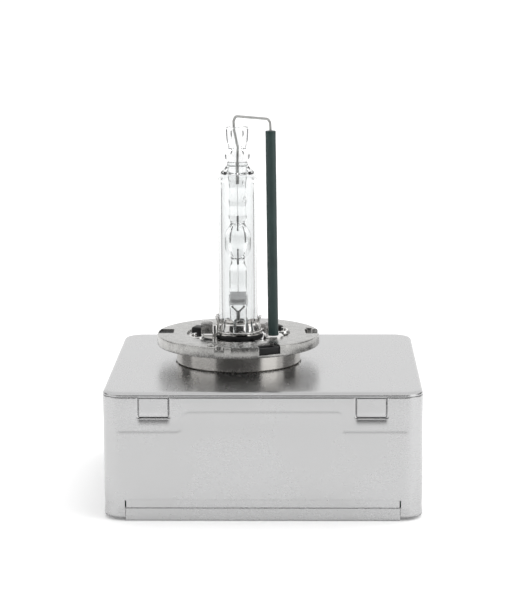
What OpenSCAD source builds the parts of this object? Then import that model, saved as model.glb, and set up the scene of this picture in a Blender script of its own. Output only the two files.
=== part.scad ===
// Xenon discharge headlight bulb with its igniter and control electronics in a metal box.
// Millimetres. Origin: burner axis, on the top face of the base ring.
// +Z points to the burner tip, -Y is the front of the box, +X is to the right.

/* [Box] */
// Width of the box, left to right
box_w = 71; // [66:0.5:78]
// Depth of the box, front to back
box_d = 69; // [66:0.5:78]
// Height of the box, underside to top face
box_h = 29.1; // [28:0.1:34]
// Radius of the box's upright corners
corner_r = 4.6; // [3.6:0.1:5]
// Sheet thickness of can, cover and bottom plate
sheet = 0.6; // [0.5:0.1:0.8]
// Distance of the burner axis left of the middle of the box
axis_left = 6.3; // [4:0.1:8]
// Distance of the burner axis behind the middle of the box
axis_back = 0.8; // [0:0.1:2]
// Depth of the shallow panel pressed into the can round the clips
panel_step = 0.15; // [0.1:0.05:0.25]

/* [Cover and clips] */
// Radius of the cover's rounded top edge
edge_r = 1.2; // [1:0.1:1.5]
// Depth of the cover's skirt below the top face
skirt_h = 1.7; // [1.6:0.1:2.2]
// Width of each snap clip
clip_w = 6.4; // [5:0.1:8]
// Reach of each clip below the top face
clip_h = 5.2; // [4.6:0.1:6]
// Distance of each clip from the middle of its side
clip_x = 24; // [20:0.5:26]

/* [Base ring and neck] */
// Outer diameter of the base ring that seats in the reflector
ring_d = 38; // [36:0.1:38.5]
// Thickness of the base ring
ring_t = 2.6; // [2.2:0.1:3]
// Diameter of the well inside the base ring
well_d = 24; // [23.5:0.1:25]
// Outer diameter of the neck between box and ring
neck_d = 29; // [28.5:0.1:31]
// Distance from the box's top face to the ring's top face
ring_rise = 6.8; // [6.5:0.1:9]

/* [Burner] */
// Outer diameter of the outer glass jacket
jacket_d = 9.2; // [9:0.1:9.3]
// Wall thickness of the outer jacket
jacket_wall = 0.9; // [0.7:0.1:1]
// Height of the arc centre above the ring's top face
arc_z = 22; // [21:0.1:23]
// Gap between the two electrode tips
arc_gap = 4.2; // [3.8:0.1:4.6]
// Outer diameter of the discharge vessel
vessel_d = 6.1; // [5.8:0.1:6.3]
// Height of the open glass stub's rim above the ring's top face
stub_z = 48.3; // [47.5:0.1:49]

/* [Return conductor] */
// Diameter of the ceramic insulating tube
tube_d = 2.4; // [2.2:0.1:2.9]
// Height of the tube's top end above the ring's top face
tube_z = 47.9; // [46:0.1:48.4]
// Diameter of the return wire
wire_d = 0.6; // [0.5:0.05:0.8]
// Height of the return wire's top run above the ring's top face
wire_z = 50.8; // [50.4:0.1:51.5]

/* [Connector] */
// Width of the supply socket in the rear wall
plug_w = 20; // [16:0.5:22]
// Height of the supply socket
plug_h = 9; // [8:0.5:10]
// Depth of the supply socket
plug_depth = 10; // [8:0.5:11]
// Diameter of each supply pin
pin_d = 1.5; // [1:0.1:2]

/* [Hidden] */

$fn = 96;
e = 0.05;                     // small clearance between seated pieces
top = -ring_rise;             // box top face
bot = top - box_h;            // underside that the box stands on
cx = axis_left;               // middle of the box
cy = -axis_back;
fy = cy - box_d / 2;          // front face
by = cy + box_d / 2;          // rear face
ring_r = ring_d / 2;
well_r = well_d / 2;
neck_r = neck_d / 2;
neck_wall = 1.3;
seam_z = top - skirt_h;       // lower edge of the cover's skirt
band_z = top - 4.4;           // lower edge of the recessed band
panel_z = top - 8.9;          // lower edge of the pressed panel round each clip
pocket_z = top - clip_h - 1.4; // lower edge of the pocket behind each clip
hem_z = top - box_h + 4.8;    // top of the crimped hem
hem_in = 5.05;                // length of side left free of hem at each corner
can_foot = bot + 1.1;         // lower end of the can's rounded corners
plate_z = bot + 0.65;         // underside of the bottom plate
pad_z = bot + sheet;          // top of the bottom plate's sunk middle
board_z = plate_z + sheet + 1; // underside of the circuit board
board_t = 1.6;
deck = board_z + board_t;     // top of the circuit board
tube_xy = [8.29, -5.6];       // foot of the ceramic tube
tube_lean = -0.46;            // sideways lean of the tube over its height
jr = jacket_d / 2;
ji = jr - jacket_wall;
clip_t = 0.5;
pocket_step = clip_t + e;     // depth of the pocket behind each clip

// Rounded rectangle
module rrect(w, d, r) {
    square([w - 2 * r, d], center = true);
    square([w, d - 2 * r], center = true);
    for (sx = [-1, 1], sy = [-1, 1])
        translate([sx * (w / 2 - r), sy * (d / 2 - r)]) circle(r = r);
}

// Upright block with rounded corners between two heights
module slab(w, d, r, z0, z1) {
    translate([cx, cy, z0]) linear_extrude(z1 - z0) rrect(w, d, r);
}

// Straight box given by its two corners
module block(a, b) {
    translate(a) cube([b[0] - a[0], b[1] - a[1], b[2] - a[2]]);
}

// Round bar between two points
module bar(a, b, r) {
    d = b - a;
    l = norm(d);
    translate(a) rotate([0, acos(d[2] / l), atan2(d[1], d[0])]) cylinder(r = r, h = l);
}

// Round bar along a list of points, with ball joints at the bends
module wire(pts, r) {
    for (i = [0 : len(pts) - 2]) bar(pts[i], pts[i + 1], r);
    if (len(pts) > 2) for (i = [1 : len(pts) - 2]) translate(pts[i]) sphere(r = r + 0.012, $fn = 48);
}

// Pie slice between two angles, for cutting rings
module slice(a0, a1, r, z0, z1) {
    translate([0, 0, z0]) linear_extrude(z1 - z0)
        polygon(concat([[0, 0]], [for (i = [0 : 8]) let (a = a0 + (a1 - a0) * i / 8) [r * cos(a), r * sin(a)]]));
}

// ---------------------------------------------------------------- burner

// Outer jacket: a straight glass tube with a domed shoulder fused to the burner's upper leg
module outer_jacket() {
    color([0.86, 0.88, 0.88, 0.35]) rotate_extrude()
        difference() {
            polygon(concat(
                [[ji, -1.2], [jr, -1.2], [jr, 35.6]],
                [for (i = [1 : 9]) let (a = 9 * i) [2.35 + (jr - 2.35) * cos(a), 35.6 + 2.9 * sin(a)]],
                [[2.5, 38.9], [2.5, 40.1], [2.2 + e, 40.1], [2.2 + e, 37.9]],
                [for (i = [9 : -1 : 0]) let (a = 9 * i) [2.2 + e + (ji - 2.2 - e) * cos(a), 35.4 + 2.3 * sin(a)]]));
        }
}

// Discharge vessel: a quartz tube blown to an egg-shaped chamber, with sealed legs and an open upper stub
module arc_tube() {
    vr = vessel_d / 2;
    leg = 2.0;
    half = 4.8;
    color([0.9, 0.92, 0.92, 0.35]) rotate_extrude() difference() {
        polygon(concat(
            [[0, -3.4], [leg, -3.4], [leg, arc_z - half - 1]],
            [for (i = [-9 : 9]) let (s = i / 9) [leg + (vr - leg) * pow(cos(90 * s), 0.8), arc_z + half * s]],
            [[leg, arc_z + half + 1], [leg, 35], [2.2, 36.6], [2.2, 40.2], [2.75, 40.7], [2.95, 41.5], [2.8, 42.4],
             [2.1, 43.3], [2.1, 43.8], [2.5, 45], [2.65, stub_z - 0.3], [2.45, stub_z], [1.5, stub_z], [1.25, 45],
             [1.0, 43.5], [1.2, 42.2], [1.0, 41], [0, 40.4]]));
        polygon(concat([[0, arc_z - 4.5]],
            [for (i = [-9 : 9]) let (s = i / 9) [1.45 * cos(84 * s), arc_z + 4.3 * s]],
            [[0, arc_z + 4.5]]));
        translate([-1, -10]) square([1, 70]);
        // channels that the electrodes, foils and leads fill
        translate([0, arc_z + 4]) square([0.22, 1.9]);
        translate([0, arc_z + 5.8]) square([0.92, 7.4]);
        translate([0, arc_z + 13]) square([0.34, 6]);
        translate([0, arc_z - 5.9]) square([0.22, 1.9]);
        translate([0, arc_z - 13.2]) square([0.92, 7.4]);
        polygon([[0, -4], [0.34, -4], [0.34, arc_z - 16.8], [1.62, arc_z - 15.2], [1.62, arc_z - 11.7], [0, arc_z - 11.7]]);
    }
}

// Tungsten electrode standing in the upper end of the vessel
module upper_electrode() {
    color([0.35, 0.35, 0.36]) {
        translate([0, 0, arc_z + arc_gap / 2]) cylinder(r = 0.17, h = 5.75 - arc_gap / 2);
        translate([0, 0, arc_z + arc_gap / 2]) sphere(r = 0.24, $fn = 48);
    }
}

module lower_electrode() {
    color([0.35, 0.35, 0.36]) {
        translate([0, 0, arc_z - 5.75]) cylinder(r = 0.17, h = 5.75 - arc_gap / 2);
        translate([0, 0, arc_z - arc_gap / 2]) sphere(r = 0.24, $fn = 48);
    }
}

// Molybdenum foil that seals the current lead into the upper leg
module upper_foil() {
    color([0.5, 0.5, 0.5]) translate([-0.06, -0.85, arc_z + 5.85]) cube([0.12, 1.7, 7.3]);
}

// Molybdenum foil of the lower leg, with its folded end where the two strands of the lead are welded on
module lower_foil() {
    color([0.5, 0.5, 0.5]) {
        translate([-0.06, -0.85, arc_z - 13.15]) cube([0.12, 1.7, 7.3]);
        translate([-1.5, -0.35, arc_z - 15]) cube([3, 0.7, 3.1]);
    }
}

// Lead from the upper foil to the weld with the return wire
module upper_lead() {
    color([0.6, 0.6, 0.6]) translate([0, 0, arc_z + 13.2]) cylinder(r = 0.3, h = 5.15);
}

// Lead from the lower foil down to the lamp contact: two strands that meet in one wire
module lower_lead() {
    z = arc_z - 16.4;
    color([0.6, 0.6, 0.6]) {
        translate([0, 0, -7.6]) cylinder(r = 0.3, h = z + 7.6);
        translate([0, 0, z]) sphere(r = 0.312, $fn = 48);
        for (s = [-1, 1]) bar([0, 0, z], [1.1 * s, 0, arc_z - 15.15], 0.2);
    }
}

// ------------------------------------------------------ return conductor

tube_top = [tube_xy[0] + tube_lean, tube_xy[1], tube_z];
tube_foot = [tube_xy[0] + 0.05, tube_xy[1], -6];

// Bent wire from the burner's upper weld over to the ceramic tube and down through it
module return_wire() {
    wz = wire_z;
    color([0.62, 0.62, 0.6]) wire([
        [0, 0, 40.5], [0.15, 0, 43.6], [-0.72, -0.1, 47.6], [-0.8, -0.2, wz - 1.2], [-0.35, -0.5, wz],
        [7.15, -5.2, wz - 0.2], [7.72, tube_xy[1], wz - 0.9], tube_top, [tube_foot[0], tube_foot[1], -7.2]],
        wire_d / 2);
}

// Dark green ceramic tube that insulates the return wire
module ceramic_tube() {
    d = tube_top - tube_foot;
    color([0.17, 0.24, 0.23]) translate(tube_foot)
        rotate([0, acos(d[2] / norm(d)), atan2(d[1], d[0])]) difference() {
            cylinder(r = tube_d / 2, h = norm(d));
            translate([0, 0, -1]) cylinder(r = 0.48, h = norm(d) + 2);
        }
}

// ----------------------------------------------------------------- base

// Spring clamp of folded fingers that grips the jacket
module clamp_ring() {
    n = 10;
    color([0.72, 0.71, 0.69]) {
        translate([0, 0, -0.1]) difference() {
            cylinder(r = 5.65, h = 0.9);
            translate([0, 0, -1]) cylinder(r = jr + e, h = 3);
        }
        for (i = [0 : n - 1]) rotate(i * 360 / n + 9) {
            translate([jr + 0.12, -1.05, 0.7]) cube([0.5, 2.1, 3.1]);
            translate([jr + 0.3, -0.3, 0.7]) cube([0.75, 0.6, 3.4]);
        }
    }
}

// Holder plate in the well: openings at the back, a clearance at the front and upright tongues beside the clamp
module tongue_plate() {
    pz = -1.1;
    color([0.7, 0.69, 0.67]) {
        difference() {
            translate([0, 0, pz]) cylinder(r = well_r - 0.1, h = 0.5);
            translate([0, 0, pz - 1]) cylinder(r = 6.0, h = 3);
            difference() {
                union() {
                    slice(128, 177, 20, pz - 1, pz + 2);
                    slice(14, 52, 20, pz - 1, pz + 2);
                }
                translate([0, 0, pz - 1]) cylinder(r = 7.1, h = 3);
                translate([0, 0, pz - 2]) difference() {
                    cylinder(r = 20, h = 5);
                    translate([0, 0, -1]) cylinder(r = 11.4, h = 7);
                }
            }
            // clearance in front of the clamp, wider on the right
            slice(-96, -60, 10, pz - 1, pz + 2);
            slice(-126, -95, 7.5, pz - 1, pz + 2);
            translate([tube_xy[0], tube_xy[1], pz - 1]) cylinder(r = 2.1, h = 3);
        }
        // upright tongues, folded up in line with the box's front
        block([-8.9, -0.6, pz + 0.4], [-5.8, -0.1, 3.2]);
        translate([-5.3, -3.8, pz + 0.4]) cylinder(r = 0.6, h = 4.1);
        block([6.0, 0.3, pz + 0.4], [9.0, 0.8, 2.6]);
        block([-0.25, 6.05, pz + 0.4], [0.25, 9.4, 3.0]);
        // curled lips in front of the rear openings
        translate([-9.6, -3.2, pz + 0.5]) difference() {
            cylinder(r = 1.7, h = 1.3);
            translate([0, 0, -1]) cylinder(r = 1.2, h = 4);
        }
        translate([10.1, -0.6, pz + 0.5]) difference() {
            cylinder(r = 1.6, h = 1.4);
            translate([0, 0, -1]) cylinder(r = 1.1, h = 4);
        }
    }
}

// Base ring: the flange that seats in the reflector, with keying notches and a ledge for the holder plate
module base_ring() {
    color([0.74, 0.73, 0.71]) {
        difference() {
            rotate_extrude() polygon([
                [well_r, 0], [ring_r - 0.5, 0], [ring_r, -0.5], [ring_r, -ring_t + 0.4], [ring_r - 0.4, -ring_t],
                [neck_r - neck_wall - 0.9, -ring_t], [neck_r - neck_wall - 0.9, -ring_t + 0.5],
                [well_r - 1, -ring_t + 0.5], [well_r - 1, -1.1 - 0.02], [well_r, -1.1 - 0.02]]);
            // pocket on the left
            block([-ring_r + 0.35, -1.2, -1.8], [-15.2, 3.9, 1]);
            // keying notch at the front right
            rotate(-66) block([ring_r - 4, -2.6, -ring_t + 0.7], [ring_r + 1, 2.6, 1]);
            // keying notch on the right
            rotate(4) block([15.7, -2.6, -1.2], [ring_r + 1, 2.6, 1]);
            // scallop in the rim beside the front locating boss
            translate([-3.75, -18.7, -0.8]) cylinder(r = 1.2, h = 2);
            // low step in the rim at the front
            difference() {
                slice(-98, -73, 20, -0.5, 1);
                translate([0, 0, -1]) cylinder(r = ring_r - 0.25, h = 3);
            }
        }
        // locating boss at the front left
        translate([-5.6, -16.4, -0.1]) cylinder(r = 0.9, h = 0.45);
        // small lug standing in the right notch
        rotate(10) block([16.2, -0.5, -1.3], [17.6, 1.3, 0.5]);
    }
}

// Black moulded keys that fill the front right notch and the left pocket
module key_insert() {
    color([0.08, 0.08, 0.08]) {
        rotate(-66) difference() {
            block([ring_r - 3.95, -2.55, -ring_t + 0.7], [ring_r - 0.3, 2.55, -0.5]);
            block([ring_r - 3.0, -1.6, -0.9], [ring_r - 1.1, 1.6, 1]);
        }
        block([-ring_r + 0.4, -1.15, -1.8], [-15.25, 3.85, -0.4]);
    }
}

// Neck: the drawn sleeve that carries the base ring on the box
module neck_collar() {
    z0 = top - sheet - 1;
    color([0.7, 0.69, 0.67]) rotate_extrude() polygon([
        [neck_r - neck_wall, -ring_t], [neck_r, -ring_t], [neck_r, top - sheet - e],
        [neck_r + 2.2, top - sheet - e], [neck_r + 2.2, z0], [neck_r - neck_wall, z0]]);
}

// Black moulded socket that carries the burner inside the neck
module burner_socket() {
    color([0.08, 0.08, 0.08]) difference() {
        union() {
            translate([0, 0, -9]) cylinder(r = neck_r - neck_wall - e, h = 9 - ring_t - 0.5);
            translate([0, 0, -9]) cylinder(r = 5.7, h = 8.85);
            translate([tube_xy[0], tube_xy[1], -4]) cylinder(r = 2.0, h = 3.3);
            // lugs that stand up through the holder plate's rear openings
            rotate(162) block([8.2, -1.6, -4], [11.2, 1.8, 0.6]);
            rotate(26) block([9.8, -1.4, -4], [11.2, 1.6, 0.9]);
        }
        // seat of the jacket, and the bore that the burner's lower leg passes through
        translate([0, 0, -1.3]) cylinder(r = jr + e, h = 3);
        translate([0, 0, -3.6]) cylinder(r = 2.1, h = 5);
        translate([0, 0, -10]) cylinder(r = 0.9, h = 9);
        // seat of the ceramic tube, and the hole for its wire
        translate([tube_xy[0] + 0.03, tube_xy[1], -6.1]) cylinder(r = tube_d / 2 + 0.1, h = 8);
        translate([tube_xy[0] + 0.05, tube_xy[1], -10]) cylinder(r = 0.6, h = 6);
    }
}

// Terminal under the burner's lower lead
module lamp_contact() {
    color([0.72, 0.6, 0.35]) difference() {
        translate([0, 0, -14]) cylinder(r = 0.8, h = 7);
        translate([0, 0, -7.7]) cylinder(r = 0.32, h = 1);
    }
}

// Terminal under the return wire
module return_contact() {
    color([0.72, 0.6, 0.35]) {
        translate([tube_xy[0] + 0.05, tube_xy[1], -9.9]) cylinder(r = 0.5, h = 2.65);
        translate([tube_xy[0] + 0.05, tube_xy[1], -10.5]) cylinder(r = 1.5, h = 0.62);
    }
}

// ------------------------------------------------------------------ box

// One corner of the cover: a disc with a rounded rim
module cover_corner(r, er, h) {
    rotate_extrude($fn = 32) polygon(concat([[0, -h], [r, -h]],
        [for (i = [0 : 6]) [r - er + er * cos(15 * i), -er + er * sin(15 * i)]], [[0, 0]]));
}

module cover_form(inset, er, h) {
    w = box_w / 2 - corner_r;
    d = box_d / 2 - corner_r;
    hull() for (sx = [-1, 1], sy = [-1, 1])
        translate([cx + sx * w, cy + sy * d, 0]) cover_corner(corner_r - inset, er, h);
}

// Cover: drawn top with a rounded edge, a short skirt and snap clips on the front and the rear
module top_cover() {
    color([0.78, 0.78, 0.78]) difference() {
        union() {
            difference() {
                translate([0, 0, top]) cover_form(0, edge_r, skirt_h);
                translate([0, 0, top - sheet]) cover_form(sheet, 0.4, skirt_h);
            }
            for (s = [-1, 1], x = [-clip_x, clip_x])
                translate([cx + x, cy + s * (box_d / 2 - clip_t / 2), top - clip_h])
                    translate([-clip_w / 2, -clip_t / 2, 0]) cube([clip_w, clip_t, clip_h - skirt_h + 0.6]);
            // hook bent inwards at the foot of each clip
            for (s = [0, 1], x = [-clip_x, clip_x]) translate([cx, cy, top - clip_h - 0.4]) rotate(180 * s)
                translate([x - clip_w / 2 + 0.3, -box_d / 2, 0]) cube([clip_w - 0.6, 1.5, 0.45]);
        }
        translate([0, 0, top - 3]) cylinder(r = neck_r + e, h = 5);
        // relief cuts beside each clip
        for (s = [-1, 1], x = [-clip_x, clip_x], c = [-1, 1])
            translate([cx + x + c * (clip_w / 2 + 0.35) - 0.3, cy + s * (box_d / 2) - 1, seam_z - 1])
                cube([0.6, 2, 1.5]);
    }
}

// Sealing cord under the cover
module cover_gasket() {
    g = seam_z - 0.1;
    color([0.12, 0.12, 0.12]) difference() {
        slab(box_w - 2 * sheet - 0.4, box_d - 2 * sheet - 2 * pocket_step - 0.4, corner_r - sheet - 0.2, g - 0.9, top - sheet - e);
        slab(box_w - 2 * sheet - 3.4, box_d - 2 * sheet - 2 * pocket_step - 3.4, corner_r - sheet - 1, g - 3, top);
    }
}

// Outline of the shallow panel pressed into the front and the rear of the can round the clips
module panel_outline() {
    x1 = box_w / 2 - 3.3;
    c = clip_x - 6.4;
    p = panel_z;
    b = band_z;
    t = seam_z + 1;
    polygon([[-x1, p], [-c - 1.4, p], [-c - 0.4, p + 0.4], [-c, p + 1.4],
        [-c, b - 1.3], [-c + 0.4, b - 0.4], [-c + 1.3, b], [c - 1, b], [c - 0.3, b - 0.3],
        [c, b - 1], [c, p], [x1, p], [x1, t], [-x1, t]]);
}

// Outlines of the pockets behind the clips; g grows them
module pocket_outline(g) {
    for (x = [-clip_x, clip_x])
        translate([x - clip_w / 2 - 0.2 - g, pocket_z - g]) square([clip_w + 0.4 + 2 * g, (g > 0 ? seam_z - e : seam_z + 1) - pocket_z + g]);
}

// Can: drawn side walls with a pressed panel, pockets for the clips, clip slots and a crimped hem
module housing_can() {
    color([0.8, 0.8, 0.8]) difference() {
        union() {
            difference() {
                slab(box_w, box_d, corner_r, can_foot, seam_z - e);
                slab(box_w - 2 * sheet, box_d - 2 * sheet, corner_r - sheet, can_foot - 1, seam_z + 1);
            }
            for (s = [0, 1]) translate([cx, cy, 0]) rotate(180 * s)
                translate([0, -box_d / 2 + pocket_step + sheet, 0]) rotate([90, 0, 0])
                    linear_extrude(sheet) pocket_outline(0.5);
            // hem folded under the bottom plate on all four sides
            for (s = [-1, 1]) {
                block([cx - box_w / 2 + hem_in, cy + s * (box_d / 2 - sheet / 2) - sheet / 2, bot],
                      [cx + box_w / 2 - hem_in, cy + s * (box_d / 2 - sheet / 2) + sheet / 2, can_foot + 1]);
                block([cx - box_w / 2 + hem_in, cy + s * (box_d / 2 - 1.6) - 1.6, bot],
                      [cx + box_w / 2 - hem_in, cy + s * (box_d / 2 - 1.6) + 1.6, bot + 0.6]);
                block([cx + s * (box_w / 2 - sheet / 2) - sheet / 2, cy - box_d / 2 + hem_in, bot],
                      [cx + s * (box_w / 2 - sheet / 2) + sheet / 2, cy + box_d / 2 - hem_in, can_foot + 1]);
                block([cx + s * (box_w / 2 - 1.6) - 1.6, cy - box_d / 2 + hem_in, bot],
                      [cx + s * (box_w / 2 - 1.6) + 1.6, cy + box_d / 2 - hem_in, bot + 0.6]);
            }
        }
        // pressed panel and pockets
        for (s = [0, 1]) translate([cx, cy, 0]) rotate(180 * s) {
            translate([0, -box_d / 2 + panel_step, 0]) rotate([90, 0, 0])
                linear_extrude(panel_step + 1) panel_outline();
            translate([0, -box_d / 2 + pocket_step, 0]) rotate([90, 0, 0])
                linear_extrude(pocket_step + 1) pocket_outline(0);
        }
        // slots that the clips hook into
        for (s = [-1, 1], x = [-clip_x, clip_x])
            translate([cx + x - clip_w / 2, cy + s * box_d / 2 - 3, top - clip_h - 0.9]) cube([clip_w, 6, 1]);
        // slits at the ends of the hem
        for (s = [-1, 1], x = [-1, 1])
            translate([cx + x * (box_w / 2 - hem_in) - 0.2, cy + s * box_d / 2 - 3, bot - 1]) cube([0.4, 6, hem_z - bot - 0.7]);
        // opening for the supply socket
        translate([cx + 12 - plug_w / 2 - 0.1, by - 4, plug_z - 0.1]) cube([plug_w + 0.2, 6, plug_h + 0.2]);
    }
}

plug_z = deck + 2.2;          // underside of the supply socket

// Bottom plate held by the hem; its sunk middle is the heat-contact face that the box stands on
module bottom_plate() {
    color([0.75, 0.75, 0.75]) difference() {
        union() {
            slab(box_w - 2 * sheet - 0.2, box_d - 2 * sheet - 0.2, corner_r - sheet - 0.1, plate_z, plate_z + sheet);
            slab(box_w - 11, box_d - 11, 3, bot, plate_z + 0.1);
        }
        slab(box_w - 11 - 2 * sheet, box_d - 11 - 2 * sheet, 3 - sheet, pad_z, plate_z + 2);
    }
}

// Supply socket moulding, flush with the rear wall
module connector_shell() {
    x0 = cx + 12;
    color([0.1, 0.1, 0.1]) difference() {
        union() {
            block([x0 - plug_w / 2, by - plug_depth - 2, plug_z], [x0 + plug_w / 2, by, plug_z + plug_h]);
            block([x0 - plug_w / 2 - 1.5, by - sheet - 1.6, plug_z - 1.5],
                  [x0 + plug_w / 2 + 1.5, by - sheet - 0.1, plug_z + plug_h + 1.5]);
        }
        block([x0 - plug_w / 2 + 1.3, by - plug_depth, plug_z + 1.3], [x0 + plug_w / 2 - 1.3, by + 1, plug_z + plug_h - 1.3]);
        // keyway in the roof of the socket
        block([x0 - 1.2, by - plug_depth, plug_z + plug_h - 1.5], [x0 + 1.2, by + 1, plug_z + plug_h - 0.6]);
        for (s = [-1, 1]) translate([x0 + s * 4, by - plug_depth - 3, plug_z + plug_h / 2]) rotate([-90, 0, 0]) cylinder(r = pin_d / 2 + 0.3, h = 6);
    }
}

// The two supply pins, bent down into the circuit board
module supply_pins() {
    x0 = cx + 12;
    pr = pin_d / 2;
    color([0.75, 0.7, 0.55]) for (s = [-1, 1]) translate([x0 + s * 4, 0, 0]) {
        translate([0, by - plug_depth - 4, plug_z + plug_h / 2]) rotate([-90, 0, 0]) rotate_extrude()
            polygon([[0, -pr], [pr + 0.25, -pr], [pr + 0.25, 4], [pr, 4], [pr, plug_depth], [pr - 0.4, plug_depth + 0.8], [0, plug_depth + 0.8]]);
        translate([0, by - plug_depth - 4, deck]) cylinder(r = pr - 0.1, h = plug_z + plug_h / 2 - deck);
    }
}

// ---------------------------------------------------------- electronics

// Heat-conducting pad between the board and the bottom plate
module thermal_pad() {
    color([0.55, 0.6, 0.68]) block([cx - 28, cy - 27, pad_z], [cx + 28, cy + 27, board_z]);
}

// Circuit board
module circuit_board() {
    color([0.1, 0.3, 0.18]) slab(box_w - 5, box_d - 7, 2, board_z, deck);
}

ex = cx + 20;                 // middle of the power section

// Ferrite core of the step-up transformer: two outer legs, a centre leg and two yokes
module transformer_core() {
    color([0.2, 0.2, 0.21]) translate([ex, cy - 14, deck + 0.3]) {
        for (y = [-9, 6]) translate([-8.5, y, 0]) cube([17, 3, 14]);
        for (x = [-8.5, 6]) translate([x, -9, 0]) cube([2.5, 18, 14]);
        translate([0, -6.2, 7]) rotate([-90, 0, 0]) cylinder(r = 3, h = 12.4);
    }
}

// Winding on the transformer's centre leg
module transformer_winding() {
    color([0.72, 0.4, 0.2]) translate([ex, cy - 14, deck + 7.3]) rotate([-90, 0, 0])
        translate([0, 0, -5.7]) rotate_extrude() translate([3.1, 0]) square([2.6, 11.4]);
}

// Drum core of the input choke
module inductor_core() {
    color([0.2, 0.2, 0.21]) translate([ex - 2, cy + 7, deck + 0.3]) rotate_extrude()
        polygon([[0, 0], [6, 0], [6, 1.5], [3, 1.5], [3, 8], [6, 8], [6, 9.5], [0, 9.5]]);
}

module inductor_winding() {
    color([0.72, 0.4, 0.2]) translate([ex - 2, cy + 7, deck + 0.3]) rotate_extrude()
        translate([3.1, 1.6]) square([2.4, 6.3]);
}

// Upright can capacitors
module smoothing_capacitor() {
    color([0.2, 0.2, 0.35]) translate([ex + 8.8, cy + 7, deck + 0.3]) rotate_extrude()
        polygon([[0, 0], [4, 0], [4, 1.2], [3.75, 1.6], [4, 2], [4, 12.6], [3.6, 13], [3.4, 13], [3.2, 12.8], [0, 12.8]]);
}

module boost_capacitor() {
    color([0.2, 0.2, 0.35]) translate([cx - 26, cy + 21, deck + 0.3]) rotate_extrude()
        polygon([[0, 0], [4, 0], [4, 1.2], [3.75, 1.6], [4, 2], [4, 12.6], [3.6, 13], [3.4, 13], [3.2, 12.8], [0, 12.8]]);
}

// Four power transistors of the bridge, in flat packages
module bridge_transistors() {
    color([0.1, 0.1, 0.1]) for (i = [0 : 3]) translate([cx - 29 + 8.5 * i, cy - 28.5, deck]) {
        cube([6.5, 6, 2.3]);
        for (x = [0.6, 4.7]) translate([x, 5.9, 0]) cube([1.2, 2.6, 0.5]);
        translate([0.5, -1.2, 0]) cube([5.5, 1.3, 0.6]);
    }
}

// Control chip with leads on two sides
module control_chip() {
    color([0.1, 0.1, 0.1]) translate([cx - 24, cy + 22.5, deck]) {
        translate([6, -3.5, 0.2]) cube([9, 7, 1.6]);
        for (i = [0 : 6], s = [-1, 1]) translate([6.5 + 1.2 * i, s * 4.2 - 0.8, 0]) cube([0.6, 1.6, 0.35]);
    }
}

ig_z = -20.5;                 // axis of the igniter transformer
ig_y = 4;

// Moulded case of the igniter, open at the bottom
module igniter_case() {
    color([0.13, 0.13, 0.14]) difference() {
        block([-14, -12.8, deck + 0.3], [14, 13.6, -11.6]);
        block([-12.9, -11.7, deck - 1], [12.9, 12.5, -12.7]);
        translate([0, 0, -13]) cylinder(r = 0.9, h = 4);
    }
}

// Ferrite rod of the igniter transformer
module igniter_core() {
    color([0.2, 0.2, 0.21]) translate([-12, ig_y, ig_z]) rotate([0, 90, 0]) cylinder(r = 2.6, h = 24);
}

// Sectioned bobbin on the rod
module igniter_bobbin() {
    color([0.85, 0.83, 0.75]) translate([-11.5, ig_y, ig_z]) rotate([0, 90, 0]) rotate_extrude()
        polygon(concat([[2.65, 0]], [for (i = [0 : 5]) each [[6, i * 4.4], [6, i * 4.4 + 1], if (i < 5) [3.3, i * 4.4 + 1], if (i < 5) [3.3, i * 4.4 + 4.4]]], [[2.65, 23]]));
}

// Secondary winding: one copper coil in each section of the bobbin
module igniter_secondary() {
    color([0.72, 0.4, 0.2]) translate([-11.5, ig_y, ig_z]) rotate([0, 90, 0])
        for (i = [0 : 4]) translate([0, 0, i * 4.4 + 1.05]) rotate_extrude() translate([3.35, 0]) square([2.1, 3.3]);
}

// Primary: one wide copper turn round the bobbin
module igniter_primary() {
    color([0.8, 0.5, 0.3]) translate([-2.5, ig_y, ig_z]) rotate([0, 90, 0]) rotate_extrude()
        translate([6.1, 0]) square([0.5, 5]);
}

// Ceramic body of the spark gap
module spark_gap() {
    color([0.9, 0.9, 0.88]) translate([-9.5, -8, ig_z]) rotate([0, 90, 0]) cylinder(r = 3, h = 5);
}

module spark_gap_caps() {
    color([0.75, 0.75, 0.72]) for (x = [-10.5, -4.5 + 0.02]) translate([x, -8, ig_z]) rotate([0, 90, 0]) cylinder(r = 3.2, h = 0.98);
}

// Film capacitor that fires the igniter
module ignition_capacitor() {
    color([0.75, 0.45, 0.15]) block([0, -11.2, ig_z - 4.5], [11.5, -5.4, ig_z + 4.5]);
}

// Bent strap from the board up to the return terminal
module board_link() {
    color([0.72, 0.6, 0.35]) {
        block([15.2, -6.1, deck], [15.8, -5.1, -10.6]);
        block([7.4, -6.1, -11.0 + 0.02], [15.8, -5.1, -10.52]);
    }
}

outer_jacket();
arc_tube();
upper_electrode();
lower_electrode();
upper_foil();
lower_foil();
upper_lead();
lower_lead();
return_wire();
ceramic_tube();
clamp_ring();
tongue_plate();
base_ring();
key_insert();
neck_collar();
burner_socket();
lamp_contact();
return_contact();
top_cover();
cover_gasket();
housing_can();
bottom_plate();
connector_shell();
supply_pins();
thermal_pad();
circuit_board();
transformer_core();
transformer_winding();
inductor_core();
inductor_winding();
smoothing_capacitor();
boost_capacitor();
bridge_transistors();
control_chip();
igniter_case();
igniter_core();
igniter_bobbin();
igniter_secondary();
igniter_primary();
spark_gap();
spark_gap_caps();
ignition_capacitor();
board_link();
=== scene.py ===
import bpy, bmesh, math, random
from mathutils import Vector, Matrix, noise


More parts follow.
